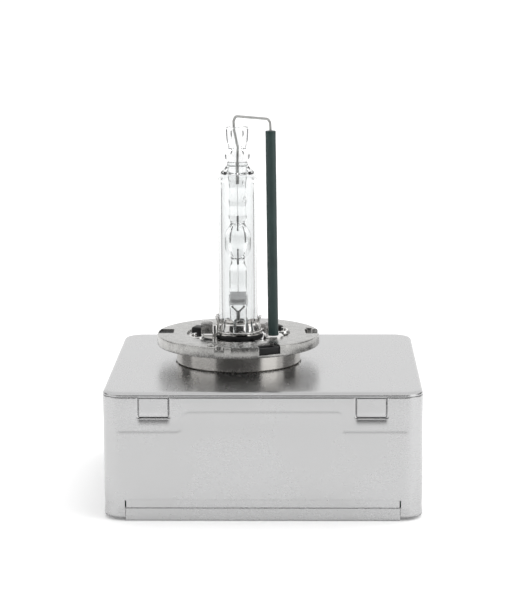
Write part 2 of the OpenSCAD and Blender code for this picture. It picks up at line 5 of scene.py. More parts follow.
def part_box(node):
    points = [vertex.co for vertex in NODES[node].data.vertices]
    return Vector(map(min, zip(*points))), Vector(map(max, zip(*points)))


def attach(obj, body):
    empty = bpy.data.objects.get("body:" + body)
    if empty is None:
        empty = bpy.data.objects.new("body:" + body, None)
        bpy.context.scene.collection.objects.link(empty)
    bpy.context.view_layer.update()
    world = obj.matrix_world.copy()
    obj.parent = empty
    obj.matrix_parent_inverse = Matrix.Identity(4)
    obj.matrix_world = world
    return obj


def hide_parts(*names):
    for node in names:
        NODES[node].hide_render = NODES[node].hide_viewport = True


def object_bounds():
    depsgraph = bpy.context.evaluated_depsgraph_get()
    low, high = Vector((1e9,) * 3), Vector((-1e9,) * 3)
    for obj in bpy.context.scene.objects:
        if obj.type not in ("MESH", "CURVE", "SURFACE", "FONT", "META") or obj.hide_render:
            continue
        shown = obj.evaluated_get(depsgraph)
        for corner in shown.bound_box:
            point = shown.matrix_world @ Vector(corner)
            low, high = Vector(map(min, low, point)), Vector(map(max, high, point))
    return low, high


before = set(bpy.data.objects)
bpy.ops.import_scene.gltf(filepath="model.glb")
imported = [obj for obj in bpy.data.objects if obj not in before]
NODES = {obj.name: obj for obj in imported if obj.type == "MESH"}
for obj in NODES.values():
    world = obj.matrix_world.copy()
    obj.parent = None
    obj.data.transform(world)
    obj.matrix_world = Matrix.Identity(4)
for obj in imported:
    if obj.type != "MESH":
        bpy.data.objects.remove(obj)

MM = 0.001
BOX0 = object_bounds()
scene = bpy.context.scene
scene.view_settings.view_transform = "Standard"
scene.view_settings.look = "None"


def nbox(n):
    a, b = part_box(n)
    return [v * 1000 for v in a], [v * 1000 for v in b]


# ------------------------------------------------------------------ camera
def make_camera():
    f, pitch, yaw, roll = 2233.3, math.radians(10.067), math.radians(-1.355), math.radians(-0.285)
    pos = Vector((16.92, -514.42, 99.01)) * MM
    cp, sp, cw, sw = math.cos(pitch), math.sin(pitch), math.cos(yaw), math.sin(yaw)
    fwd = Vector((sw * cp, cw * cp, -sp))
    r = Vector((cw, -sw, 0))
    u = r.cross(fwd)
    cr, sr = math.cos(roll), math.sin(roll)
    r2, u2 = cr * r + sr * u, -sr * r + cr * u
    cam = bpy.data.cameras.new("camera")
    cam.sensor_fit = "AUTO"
    cam.sensor_width = 36.0
    cam.lens = 36.0 * f / 600.0
    cam.clip_start, cam.clip_end = 0.01, 20
    ob = bpy.data.objects.new("camera", cam)
    scene.collection.objects.link(ob)
    m = Matrix.Identity(4)
    for i in range(3):
        m[i][0], m[i][1], m[i][2], m[i][3] = r2[i], u2[i], -fwd[i], pos[i]
    ob.matrix_world = m
    scene.camera = ob


make_camera()

# ------------------------------------------------------------- node helpers


class NT:
    """Small helper to build a material's node tree."""

    def __init__(self, name):
        self.mat = bpy.data.materials.new(name)
        self.mat.use_nodes = True
        self.t = self.mat.node_tree
        self.t.nodes.clear()
        self.out = self.t.nodes.new("ShaderNodeOutputMaterial")
        self.p = self.t.nodes.new("ShaderNodeBsdfPrincipled")
        self.t.links.new(self.p.outputs[0], self.out.inputs["Surface"])
        self.tc = self.t.nodes.new("ShaderNodeTexCoord")

    def n(self, kind, **kw):
        nd = self.t.nodes.new(kind)
        for k, v in kw.items():
            if hasattr(nd, k):
                setattr(nd, k, v)
            else:
                nd.inputs[k.replace("_", " ")].default_value = v
        return nd

    def link(self, a, b):
        self.t.links.new(a, b)
        return b.node

    def set(self, **kw):
        for k, v in kw.items():
            self.p.inputs[k.replace("_", " ")].default_value = v

    def mapping(self, scale=(1, 1, 1), loc=(0, 0, 0), rot=(0, 0, 0)):
        m = self.n("ShaderNodeMapping")
        m.inputs["Scale"].default_value = scale
        m.inputs["Location"].default_value = loc
        m.inputs["Rotation"].default_value = rot
        self.link(self.tc.outputs["Object"], m.inputs["Vector"])
        return m.outputs["Vector"]

    def noise(self, vec, scale, detail=3.0, rough=0.5):
        n = self.n("ShaderNodeTexNoise")
        n.inputs["Scale"].default_value = scale
        n.inputs["Detail"].default_value = detail
        n.inputs["Roughness"].default_value = rough
        self.link(vec, n.inputs["Vector"])
        return n.outputs["Fac"]

    def ramp(self, fac, stops):
        r = self.n("ShaderNodeValToRGB")
        els = r.color_ramp.elements
        while len(els) < len(stops):
            els.new(0.5)
        for e, (p, c) in zip(els, stops):
            e.position = p
            e.color = c if len(c) == 4 else (*c, 1)
        self.link(fac, r.inputs["Fac"])
        return r.outputs["Color"]

    def maprange(self, v, a, b, c, d):
        m = self.n("ShaderNodeMapRange")
        for k, x in zip(("From Min", "From Max", "To Min", "To Max"), (a, b, c, d)):
            m.inputs[k].default_value = x
        self.link(v, m.inputs["Value"])
        return m.outputs["Result"]

    def math(self, op, a, b=None):
        m = self.n("ShaderNodeMath", operation=op)
        for i, x in enumerate((a, b)):
            if x is None:
                continue
            if isinstance(x, (int, float)):
                m.inputs[i].default_value = x
            else:
                self.link(x, m.inputs[i])
        return m.outputs[0]

    def mix(self, fac, a, b):
        m = self.n("ShaderNodeMix", data_type="RGBA")
        for i, x in ((0, fac), (6, a), (7, b)):
            if isinstance(x, (int, float)):
                m.inputs[i].default_value = x
            elif isinstance(x, tuple):
                m.inputs[i].default_value = x if len(x) == 4 else (*x, 1)
            else:
                self.link(x, m.inputs[i])
        return m.outputs[2]

    def bump(self, height, strength=0.1, dist=0.0001):
        b = self.n("ShaderNodeBump")
        b.inputs["Strength"].default_value = strength
        b.inputs["Distance"].default_value = dist
        self.link(height, b.inputs["Height"])
        self.link(b.outputs["Normal"], self.p.inputs["Normal"])
        return b


def metal(name, c0, c1, rough=(0.2, 0.35), brush=None, brush_k=0.06, blot=60, bump=0.15, bump_d=0.00002, span=(0.25, 0.75), aniso=0.0):
    """Metal with blotchy tone, fine brushed grain and varying polish."""
    m = NT(name)
    m.set(Metallic=1.0)
    base = m.mapping()
    big = m.noise(base, blot, 4)
    if brush is None:
        fine = m.noise(base, 2500, 2)
    else:
        fine = m.noise(m.mapping(scale=brush), 1.0, 3, 0.6)
    tone = m.math("ADD", m.math("MULTIPLY", big, 1 - brush_k * 4), m.math("MULTIPLY", fine, brush_k * 4))
    col = m.ramp(tone, [(span[0], c0), (span[1], c1)])
    m.link(col, m.p.inputs["Base Color"])
    rr = m.math("ADD", m.math("MULTIPLY", big, 0.6), m.math("MULTIPLY", fine, 0.4))
    m.link(m.maprange(rr, 0.3, 0.7, *rough), m.p.inputs["Roughness"])
    m.bump(fine, bump, bump_d)
    if aniso:
        m.set(Anisotropic=aniso)
    return m.mat


def glass(name, tint, ior=1.46, rough=0.0, wav=True):
    m = NT(name)
    m.set(IOR=ior, Roughness=rough)
    m.set(**{"Transmission Weight": 1.0})
    v = m.noise(m.mapping(scale=(1, 1, 0.35)), 260, 2)
    m.link(m.ramp(v, [(0.3, tint), (0.7, tuple(min(1, c * 1.012) for c in tint))]), m.p.inputs["Base Color"])
    if wav:
        m.bump(v, 0.12, 0.00004)
    return m.mat


def dielectric(name, c0, c1, rough=(0.4, 0.6), scale=300, bump=0.2, bump_d=0.00004, coat=0.0, spec=0.5, grain=2200):
    m = NT(name)
    base = m.mapping()
    big = m.noise(base, scale, 4)
    fine = m.noise(base, grain, 2)
    m.link(m.ramp(big, [(0.3, c0), (0.7, c1)]), m.p.inputs["Base Color"])
    m.link(m.maprange(m.math("ADD", m.math("MULTIPLY", big, 0.5), m.math("MULTIPLY", fine, 0.5)), 0.3, 0.7, *rough), m.p.inputs["Roughness"])
    m.bump(fine, bump, bump_d)
    m.set(**{"Coat Weight": coat, "Coat Roughness": 0.15, "Specular IOR Level": spec})
    return m.mat


M = {}
M["box"] = metal("tinned_sheet", (0.47, 0.47, 0.47), (0.55, 0.55, 0.555), rough=(0.22, 0.32), brush=(800, 140, 2600), brush_k=0.07, blot=45, bump=0.05)
M["ring"] = metal("nickel_ring", (0.29, 0.286, 0.278), (0.50, 0.495, 0.48), rough=(0.18, 0.34), blot=520, brush_k=0.08, bump=0.16, span=(0.36, 0.64))
M["neck"] = metal("nickel_neck", (0.55, 0.53, 0.50), (0.68, 0.665, 0.64), rough=(0.12, 0.2), brush=(300, 300, 3200), brush_k=0.08, blot=120, bump=0.10)
M["spring"] = metal("stainless_spring", (0.62, 0.615, 0.60), (0.80, 0.79, 0.78), rough=(0.10, 0.2), blot=260, brush_k=0.05, bump=0.10)
M["wire"] = metal("nickel_wire", (0.34, 0.34, 0.33), (0.46, 0.46, 0.45), rough=(0.3, 0.42), blot=500, brush_k=0.05)
M["tungsten"] = metal("tungsten", (0.16, 0.16, 0.165), (0.26, 0.26, 0.26), rough=(0.35, 0.5), blot=900, brush_k=0.05)
M["moly"] = metal("molybdenum", (0.74, 0.74, 0.75), (0.86, 0.86, 0.86), rough=(0.3, 0.45), blot=700, brush_k=0.06)
M["brass"] = metal("tinned_brass", (0.62, 0.54, 0.36), (0.76, 0.68, 0.48), rough=(0.2, 0.35), blot=300, brush_k=0.05)
M["cap"] = metal("plated_cap", (0.6, 0.6, 0.58), (0.74, 0.74, 0.72), rough=(0.2, 0.3), blot=300, brush_k=0.05)
M["copper"] = metal("copper_strip", (0.72, 0.36, 0.2), (0.86, 0.5, 0.32), rough=(0.25, 0.4), blot=300, brush_k=0.05)
M["winding"] = metal("enamelled_copper", (0.50, 0.20, 0.08), (0.66, 0.30, 0.14), rough=(0.2, 0.32), brush=(800, 800, 9000), brush_k=0.12, blot=400, bump=0.4, bump_d=0.00008)
M["jacket"] = glass("jacket_glass", (0.905, 0.915, 0.915), 1.47)
M["quartz"] = glass("quartz_glass", (0.97, 0.975, 0.975), 1.458)
M["green"] = dielectric("green_ceramic", (0.016, 0.034, 0.032), (0.024, 0.048, 0.045), rough=(0.34, 0.47), scale=220, bump=0.25, bump_d=0.00003, spec=0.4)
M["black"] = dielectric("black_moulding", (0.006, 0.006, 0.0065), (0.014, 0.014, 0.0145), rough=(0.42, 0.58), scale=400, spec=0.35)
M["rubber"] = dielectric("seal_rubber", (0.016, 0.016, 0.017), (0.03, 0.03, 0.03), rough=(0.6, 0.8), scale=500)
M["pad"] = dielectric("filled_silicone", (0.24, 0.28, 0.36), (0.32, 0.36, 0.44), rough=(0.6, 0.75), scale=900, bump=0.3)
M["board"] = dielectric("solder_mask", (0.012, 0.075, 0.035), (0.02, 0.11, 0.05), rough=(0.25, 0.4), scale=240, coat=0.3)
M["ferrite"] = dielectric("ferrite", (0.022, 0.022, 0.024), (0.05, 0.05, 0.052), rough=(0.5, 0.7), scale=900, bump=0.3)
M["sleeve"] = dielectric("shrink_sleeve", (0.02, 0.02, 0.06), (0.035, 0.035, 0.09), rough=(0.25, 0.35), scale=300, coat=0.3)
M["epoxy"] = dielectric("moulded_epoxy", (0.012, 0.012, 0.012), (0.03, 0.03, 0.03), rough=(0.5, 0.65), scale=900, bump=0.4)
M["bobbin"] = dielectric("natural_moulding", (0.62, 0.58, 0.48), (0.70, 0.66, 0.56), rough=(0.4, 0.5), scale=400)
M["alumina"] = dielectric("alumina", (0.74, 0.74, 0.70), (0.84, 0.84, 0.81), rough=(0.35, 0.5), scale=600)
M["film"] = dielectric("dipped_epoxy", (0.45, 0.17, 0.03), (0.56, 0.23, 0.05), rough=(0.18, 0.3), scale=300, coat=0.4)

CAD_MAT = {
    "outer_jacket": "jacket", "arc_tube": "quartz", "upper_electrode": "tungsten", "lower_electrode": "tungsten",
    "upper_foil": "moly", "lower_foil": "moly", "upper_lead": "wire", "lower_lead": "wire", "return_wire": "wire",
    "ceramic_tube": "green", "clamp_ring": "spring", "tongue_plate": "spring", "base_ring": "ring", "key_insert": "black", "neck_collar": "neck",
    "burner_socket": "black", "lamp_contact": "brass", "return_contact": "brass", "top_cover": "box", "cover_gasket": "rubber",
    "housing_can": "box", "bottom_plate": "box", "connector_shell": "black", "supply_pins": "brass", "thermal_pad": "pad",
    "circuit_board": "board", "transformer_core": "ferrite", "transformer_winding": "winding", "inductor_core": "ferrite",
    "inductor_winding": "winding", "smoothing_capacitor": "sleeve", "boost_capacitor": "sleeve", "bridge_transistors": "epoxy",
    "control_chip": "epoxy", "igniter_case": "black", "igniter_core": "ferrite", "igniter_bobbin": "bobbin",
    "igniter_secondary": "winding", "igniter_primary": "copper", "spark_gap": "alumina", "spark_gap_caps": "cap",
    "ignition_capacitor": "film", "board_link": "brass"}

for n, o in NODES.items():
    o.data.materials.clear()
    o.data.materials.append(M[CAD_MAT[n]])

# --------------------------------------------------------------- mesh tools


def new_object(name, verts, faces, mat, angle=35.0, scale=MM):
    me = bpy.data.meshes.new(name)
    me.from_pydata([tuple(c * scale for c in v) for v in verts], [], faces)
    me.validate(clean_customdata=False)
    me.update()
    for p in me.polygons:
        p.use_smooth = True
    me.set_sharp_from_angle(angle=math.radians(angle))
    ob = bpy.data.objects.new(name, me)
    scene.collection.objects.link(ob)
    me.materials.append(M[mat])
    return ob


def place(ob, node=None):
    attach(ob, "root")
    if node:
        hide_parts(node)
    return ob


def fillet(pts, n=5):
    """pts: closed polygon of (x, y, radius). Returns it with each corner rounded."""
    out, m = [], len(pts)
    for i in range(m):
        x, y, r = (*pts[i], 0)[:3]
        p = Vector((x, y))
        if r <= 0:
            out.append((x, y))
            continue
        a, b = Vector(pts[i - 1][:2]) - p, Vector(pts[(i + 1) % m][:2]) - p
        la, lb = a.length, b.length
        a.normalize(); b.normalize()
        ang = a.angle(b)
        if ang > math.pi - 1e-3:
            out.append((x, y))
            continue
        t = min(r / math.tan(ang / 2), la * 0.49, lb * 0.49)
        rr = t * math.tan(ang / 2)
        c = p + (a + b).normalized() * (rr / math.sin(ang / 2))
        s, e = p + a * t, p + b * t
        a0 = math.atan2(s.y - c.y, s.x - c.x)
        a1 = math.atan2(e.y - c.y, e.x - c.x)
        d = (a1 - a0 + math.pi) % (2 * math.pi) - math.pi
        for k in range(n + 1):
            q = a0 + d * k / n
            out.append((c.x + rr * math.cos(q), c.y + rr * math.sin(q)))
    return out


def area2(p):
    return sum(p[i - 1][0] * p[i][1] - p[i][0] * p[i - 1][1] for i in range(len(p))) / 2


def lathe_data(loops, segs=128, centre=(0, 0, 0)):
    """loops: list of (profile, is_hole). A profile is a closed polygon of (r, z)."""
    V, F = [], []
    for prof, hole in loops:
        if (area2(prof) < 0) != hole:
            prof = prof[::-1]
        idx = []
        for r, z in prof:
            if r < 1e-6:
                idx.append([len(V)])
                V.append((centre[0], centre[1], centre[2] + z))
            else:
                idx.append(list(range(len(V), len(V) + segs)))
                for k in range(segs):
                    a = 2 * math.pi * k / segs
                    V.append((centre[0] + r * math.cos(a), centre[1] + r * math.sin(a), centre[2] + z))
        m = len(prof)
        for i in range(m):
            A, B = idx[i], idx[(i + 1) % m]
            if len(A) == 1 and len(B) == 1:
                continue
            for k in range(segs):
                k2 = (k + 1) % segs
                if len(A) == 1:
                    F.append((A[0], B[k2], B[k]))
                elif len(B) == 1:
                    F.append((A[k], A[k2], B[0]))
                else:
                    F.append((A[k], A[k2], B[k2], B[k]))
    return V, F


def lathe(name, loops, mat, segs=128, centre=(0, 0, 0), angle=35):
    V, F = lathe_data(loops, segs, centre)
    return new_object(name, V, F, mat, angle)


def tube_along(name, pts, radius, mat, segs=20, cap=True, bend=None):
    """A round wire along a smooth path: the corners of the polyline are rounded with the given bend radii."""
    P = [Vector(p) for p in pts]
    path = [P[0]]
    for i in range(1, len(P) - 1):
        r = (bend[i] if isinstance(bend, (list, tuple)) else bend) or 0
        a, b = P[i - 1] - P[i], P[i + 1] - P[i]
        la, lb = a.length, b.length
        a.normalize(); b.normalize()
        ang = a.angle(b)
        if r <= 0 or ang > math.pi - 0.01:
            path.append(P[i]); continue
        t = min(r / math.tan(ang / 2), la * 0.48, lb * 0.48)
        s, e = P[i] + a * t, P[i] + b * t
        for k in range(9):
            q = k / 8
            path.append((1 - q) ** 2 * s + 2 * q * (1 - q) * P[i] + q * q * e)
    path.append(P[-1])
    # parallel transport frame
    V, F = [], []
    t0 = (path[1] - path[0]).normalized()
    up = Vector((0, 1, 0)) if abs(t0.y) < 0.9 else Vector((1, 0, 0))
    nrm = t0.cross(up).normalized()
    rings = []
    for i, p in enumerate(path):
        if i == 0:
            t = t0
        elif i == len(path) - 1:
            t = (path[i] - path[i - 1]).normalized()
        else:
            t = ((path[i + 1] - p).normalized() + (p - path[i - 1]).normalized()).normalized()
        nrm = (nrm - t * nrm.dot(t)).normalized()
        b = t.cross(nrm)
        rr = radius(i / (len(path) - 1)) if callable(radius) else radius
        ring = []
        for k in range(segs):
            a = 2 * math.pi * k / segs
            ring.append(len(V))
            V.append(p + (nrm * math.cos(a) + b * math.sin(a)) * rr)
        rings.append(ring)
    for A, B in zip(rings, rings[1:]):
        for k in range(segs):
            k2 = (k + 1) % segs
            F.append((A[k], A[k2], B[k2], B[k]))
    if cap:
        F.append(tuple(reversed(rings[0])))
        F.append(tuple(rings[-1]))
    ob = new_object(name, V, F, mat, 50)
    return ob


def apply_mods(ob):
    """Applies an object's modifiers to its mesh."""
    bpy.context.view_layer.update()
    dg = bpy.context.evaluated_depsgraph_get()
    me = bpy.data.meshes.new_from_object(ob.evaluated_get(dg), preserve_all_data_layers=True, depsgraph=dg)
    ob.modifiers.clear()
    old = ob.data
    ob.data = me
    me.name = ob.name
    return ob


def drop(ob):
    bpy.data.objects.remove(ob, do_unlink=True)


def boolean(ob, others, op="DIFFERENCE"):
    for c in others:
        m = ob.modifiers.new("b", "BOOLEAN")
        m.operation = op
        m.solver = "EXACT"
        m.object = c
    apply_mods(ob)
    for c in others:
        drop(c)
    return ob


def bevel(ob, width, segs=3, angle=30, clamp=True):
    m = ob.modifiers.new("bevel", "BEVEL")
    m.width = width * MM
    m.segments = segs
    m.limit_method = "ANGLE"
    m.angle_limit = math.radians(angle)
    m.use_clamp_overlap = clamp
    m.harden_normals = False
    m.miter_outer = "MITER_ARC"
    return ob


def finish_mesh(ob, angle=35, merge=0.0):
    me = ob.data
    if merge:
        bm = bmesh.new(); bm.from_mesh(me)
        bmesh.ops.remove_doubles(bm, verts=bm.verts, dist=merge * MM)
        bm.to_mesh(me); bm.free()
    for p in me.polygons:
        p.use_smooth = True
    me.set_sharp_from_angle(angle=math.radians(angle))
    return ob


def box_data(a, b):
    x0, y0, z0 = a; x1, y1, z1 = b
    V = [(x, y, z) for z in (z0, z1) for y in (y0, y1) for x in (x0, x1)]
    F = [(0, 2, 3, 1), (4, 5, 7, 6), (0, 1, 5, 4), (2, 6, 7, 3), (0, 4, 6, 2), (1, 3, 7, 5)]
    return V, F


def cutter_box(a, b, rot_deg=0.0):
    V, F = box_data(a, b)
    c, s = math.cos(math.radians(rot_deg)), math.sin(math.radians(rot_deg))
    V = [(x * c - y * s, x * s + y * c, z) for x, y, z in V]
    return new_object("cut", V, F, "box")


def prism(name, outline, z0, z1, mat="box"):
    """Upright prism of a closed outline of (x, y)."""
    if area2(outline) < 0:
        outline = outline[::-1]
    n = len(outline)
    V = [(x, y, z0) for x, y in outline] + [(x, y, z1) for x, y in outline]
    F = [tuple(range(n - 1, -1, -1)), tuple(range(n, 2 * n))]
    F += [(i, (i + 1) % n, n + (i + 1) % n, n + i) for i in range(n)]
    return new_object(name, V, F, mat)

# -------------------------------------------------------------------- sizes
can0, can1 = nbox("housing_can")
cov0, cov1 = nbox("top_cover")
ring0, ring1 = nbox("base_ring")
CX, CY = (can0[0] + can1[0]) / 2, (can0[1] + can1[1]) / 2
W, D = can1[0] - can0[0], can1[1] - can0[1]
TOP, BOT = cov1[2], can0[2]
FY, BY = can0[1], can1[1]
R_CORNER = 4.6
SHEET = 0.6
CLIP_X, CLIP_W, CLIP_H = 24.0, 6.4, 5.2
RING_R = (ring1[0] - ring0[0]) / 2
NECK_R = 14.5
WELL_R = 12.0
jk0, jk1 = nbox("outer_jacket")
JR = (jk1[0] - jk0[0]) / 2
cs0, cs1 = nbox("connector_shell")
tb0, tb1 = nbox("ceramic_tube")
TUBE_TOP, TUBE_FOOT, TUBE_Y = tb0[0] + 1.2, tb1[0] - 1.2, (tb0[1] + tb1[1]) / 2
aw0, aw1 = nbox("arc_tube")


def subdivide(marks, step):
    out = []
    for a, b in zip(marks, marks[1:]):
        n = max(1, math.ceil(abs(b - a) / step - 1e-6))
        out += [a + (b - a) * k / n for k in range(n)]
    out.append(marks[-1])
    return out


def smooth(t):
    t = min(1.0, max(0.0, t))
    return t * t * (3 - 2 * t)


def stations(w, d, r, xf, ys, nc=14, xb=None):
    """Stations round a rounded rectangle, anticlockwise from above: x, y, nx, ny, side, run along the side."""
    S = []
    hw, hd = w / 2, d / 2

    def corner(x, y, a0, side):
        for k in range(nc + 1):
            a = math.radians(a0 + 90 * k / nc)
            S.append((x + r * math.cos(a), y + r * math.sin(a), math.cos(a), math.sin(a), side, k / nc))

    for x in xf:
        S.append((x, -hd, 0, -1, "F", 0))
    corner(hw - r, -(hd - r), -90, "FR")
    for y in ys:
        S.append((hw, y, 1, 0, "R", 0))
    corner(hw - r, hd - r, 0, "BR")
    for x in reversed(xb or xf):
        S.append((x, hd, 0, 1, "B", 0))
    corner(-(hw - r), hd - r, 90, "BL")
    for y in reversed(ys):
        S.append((-hw, y, -1, 0, "L", 0))
    corner(-(hw - r), -(hd - r), 180, "FL")
    return S


def at(s, inset, z):
    return (CX + s[0] - s[2] * inset, CY + s[1] - s[3] * inset, z)


def ring_faces(n, m, closed, skip=None):
    F = []
    for a in range(m if closed else m - 1):
        b = (a + 1) % m
        for k in range(n):
            k2 = (k + 1) % n
            if skip and skip(a, k):
                continue
            F.append((a * n + k, b * n + k, b * n + k2, a * n + k2))
    return F


def inner(vals):
    return vals[1:-1]


def arc_pts(cx_, cz_, r, a0, a1, n):
    return [(cx_ + r * math.cos(math.radians(a0 + (a1 - a0) * k / n)), cz_ + r * math.sin(math.radians(a0 + (a1 - a0) * k / n))) for k in range(n + 1)]


# --------------------------------------------------------------------- box


def make_cover():
    hw, hd = W / 2 - R_CORNER, D / 2 - R_CORNER
    S = stations(W, D, R_CORNER, inner(subdivide([-hw, hw], 1.5)), inner(subdivide([-hd, hd], 1.5)), 14)
    rings = []

    def circle(r, z):
        out = []
        for s in S:
            a = math.atan2(CY + s[1], CX + s[0])
            out.append((r * math.cos(a), r * math.sin(a), z))
        rings.append(out)

    hole = NECK_R + 0.14
    circle(hole, TOP - 0.30)
    circle(hole + 0.01, TOP - 0.14)
    circle(hole + 0.05, TOP - 0.05)
    circle(hole + 0.13, TOP - 0.01)
    circle(hole + 0.24, TOP)
    circle(hole + 1.6, TOP)
    er = 0.92
    rings.append([at(s, 3.4, TOP) for s in S])
    rings.append([at(s, er + 0.9, TOP - 0.012) for s in S])
    rings.append([at(s, er + 0.25, TOP - 0.035) for s in S])
    for ins, z in ((0.92, -0.052), (0.74, -0.08), (0.56, -0.14), (0.38, -0.24), (0.22, -0.37), (0.09, -0.53), (0.03, -0.70)):
        rings.append([at(s, ins, TOP + z) for s in S])
    for ins, z in ((0.0, -0.9), (0.02, -0.98), (0.06, -1.03), (0.16, -1.06), (0.47, -1.08), (0.47, -1.92), (0.55, -2.0), (0.72, -2.0), (0.78, -1.92), (0.78, -1.2), (1.2, -0.7), (3.4, -SHEET)):
        rings.append([at(s, ins, TOP + z) for s in S])
    circle(hole + 1.6, TOP - SHEET)
    circle(hole + 0.12, TOP - SHEET)
    V = [v for r in rings for v in r]
    # the flat top is very slightly uneven, as drawn sheet is
    V2 = []
    for x, y, z in V:
        if z > TOP - 0.01:
            z -= 0.012 * (0.5 + 0.5 * noise.noise(Vector((x * 0.05, y * 0.05, 3.1))))
        V2.append((x, y, z))
    F = ring_faces(len(S), len(rings), True)
    # snap clips: a strap that hangs from the edge, its end hooked into the can's slot
    t = 0.46
    parts = [(V2, F)]
    for sy in (-1, 1):
        for xc in (-CLIP_X, CLIP_X):
            path = [(0.50, -1.03), (0.12, -0.97), (0.02, -1.35), (0.03, -2.2), (0.03, -CLIP_H + 0.75), (0.06, -CLIP_H + 0.35), (0.15, -CLIP_H + 0.0), (0.32, -CLIP_H - 0.32), (0.60, -CLIP_H - 0.48), (1.5, -CLIP_H - 0.50)]
            outer = fillet([(a, b, 0.25 if 0 < i < len(path) - 1 else 0) for i, (a, b) in enumerate(path)] , 3)
            # open polyline: the first and last corner stay sharp
            inn = []
            for i, p in enumerate(outer):
                a = Vector(outer[max(0, i - 1)]); b = Vector(outer[min(len(outer) - 1, i + 1)])
                d = (b - a).normalized()
                inn.append((p[0] - d.y * t, p[1] + d.x * t))
            prof = outer + inn[::-1]
            n = len(prof)
            hwc = CLIP_W / 2
            cols = [-hwc, -hwc + 0.06, -hwc + 0.2, hwc - 0.2, hwc - 0.06, hwc]
            ins_c = [0.12, 0.03, 0, 0, 0.03, 0.12]
            VV, FF = [], []
            cen = (sum(p[0] for p in prof) / n, sum(p[1] for p in prof) / n)
            for c, sh in zip(cols, ins_c):
                for i, (a, b) in enumerate(prof):
                    j = i if i < len(outer) else 2 * len(outer) - 1 - i
                    o, q = outer[j], inn[j]
                    m_ = ((o[0] + q[0]) / 2, (o[1] + q[1]) / 2)
                    f = 1 - sh / (t / 2) * 0.8
                    aa, bb = m_[0] + (a - m_[0]) * f, m_[1] + (b - m_[1]) * f
                    if j == len(outer) - 1 or j == 0:
                        pass
                    y = FY + aa if sy < 0 else BY - aa
                    x = CX + xc + (c if sy < 0 else -c)
                    VV.append((x, y, TOP + bb))
            for ci in range(len(cols) - 1):
                for i in range(n):
                    i2 = (i + 1) % n
                    FF.append((ci * n + i, ci * n + i2, (ci + 1) * n + i2, (ci + 1) * n + i))
            FF.append(tuple(range(n))[::-1])
            FF.append(tuple(range((len(cols) - 1) * n, len(cols) * n)))
            parts.append((VV, FF))
    V, F = [], []
    for vv, ff in parts:
        o = len(V)
        V += vv
        F += [tuple(i + o for i in f) for f in ff]
    ob = new_object("cover_shell", V, F, "box", 40)
    bm = bmesh.new(); bm.from_mesh(ob.data)
    # face directions of the clips
    bmesh.ops.recalc_face_normals(bm, faces=bm.faces)
    bm.to_mesh(ob.data); bm.free()
    finish_mesh(ob, 40)
    return place(ob, "top_cover")


def recess_poly():
    x1 = W / 2 - 3.3
    c = CLIP_X - 6.4
    p, b, t = -8.9, -4.4, 4.0
    return [(-x1, p), (-c - 1.4, p), (-c - 0.4, p + 0.4), (-c, p + 1.4), (-c, b - 1.3), (-c + 0.4, b - 0.4), (-c + 1.3, b),
            (c - 1, b), (c - 0.3, b - 0.3), (c, b - 1), (c, p), (x1, p), (x1, t), (-x1, t)]


def signed_distance(poly, x, y):
    best, inside = 1e9, False
    n = len(poly)
    for i in range(n):
        x1, y1 = poly[i]
        x2, y2 = poly[(i + 1) % n]
        dx, dy = x2 - x1, y2 - y1
        t = ((x - x1) * dx + (y - y1) * dy) / (dx * dx + dy * dy)
        t = 0 if t < 0 else 1 if t > 1 else t
        q = (x - x1 - t * dx) ** 2 + (y - y1 - t * dy) ** 2
        best = min(best, q)
        if (y1 > y) != (y2 > y) and x < dx * (y - y1) / dy + x1:
            inside = not inside
    return math.sqrt(best) * (-1 if inside else 1)


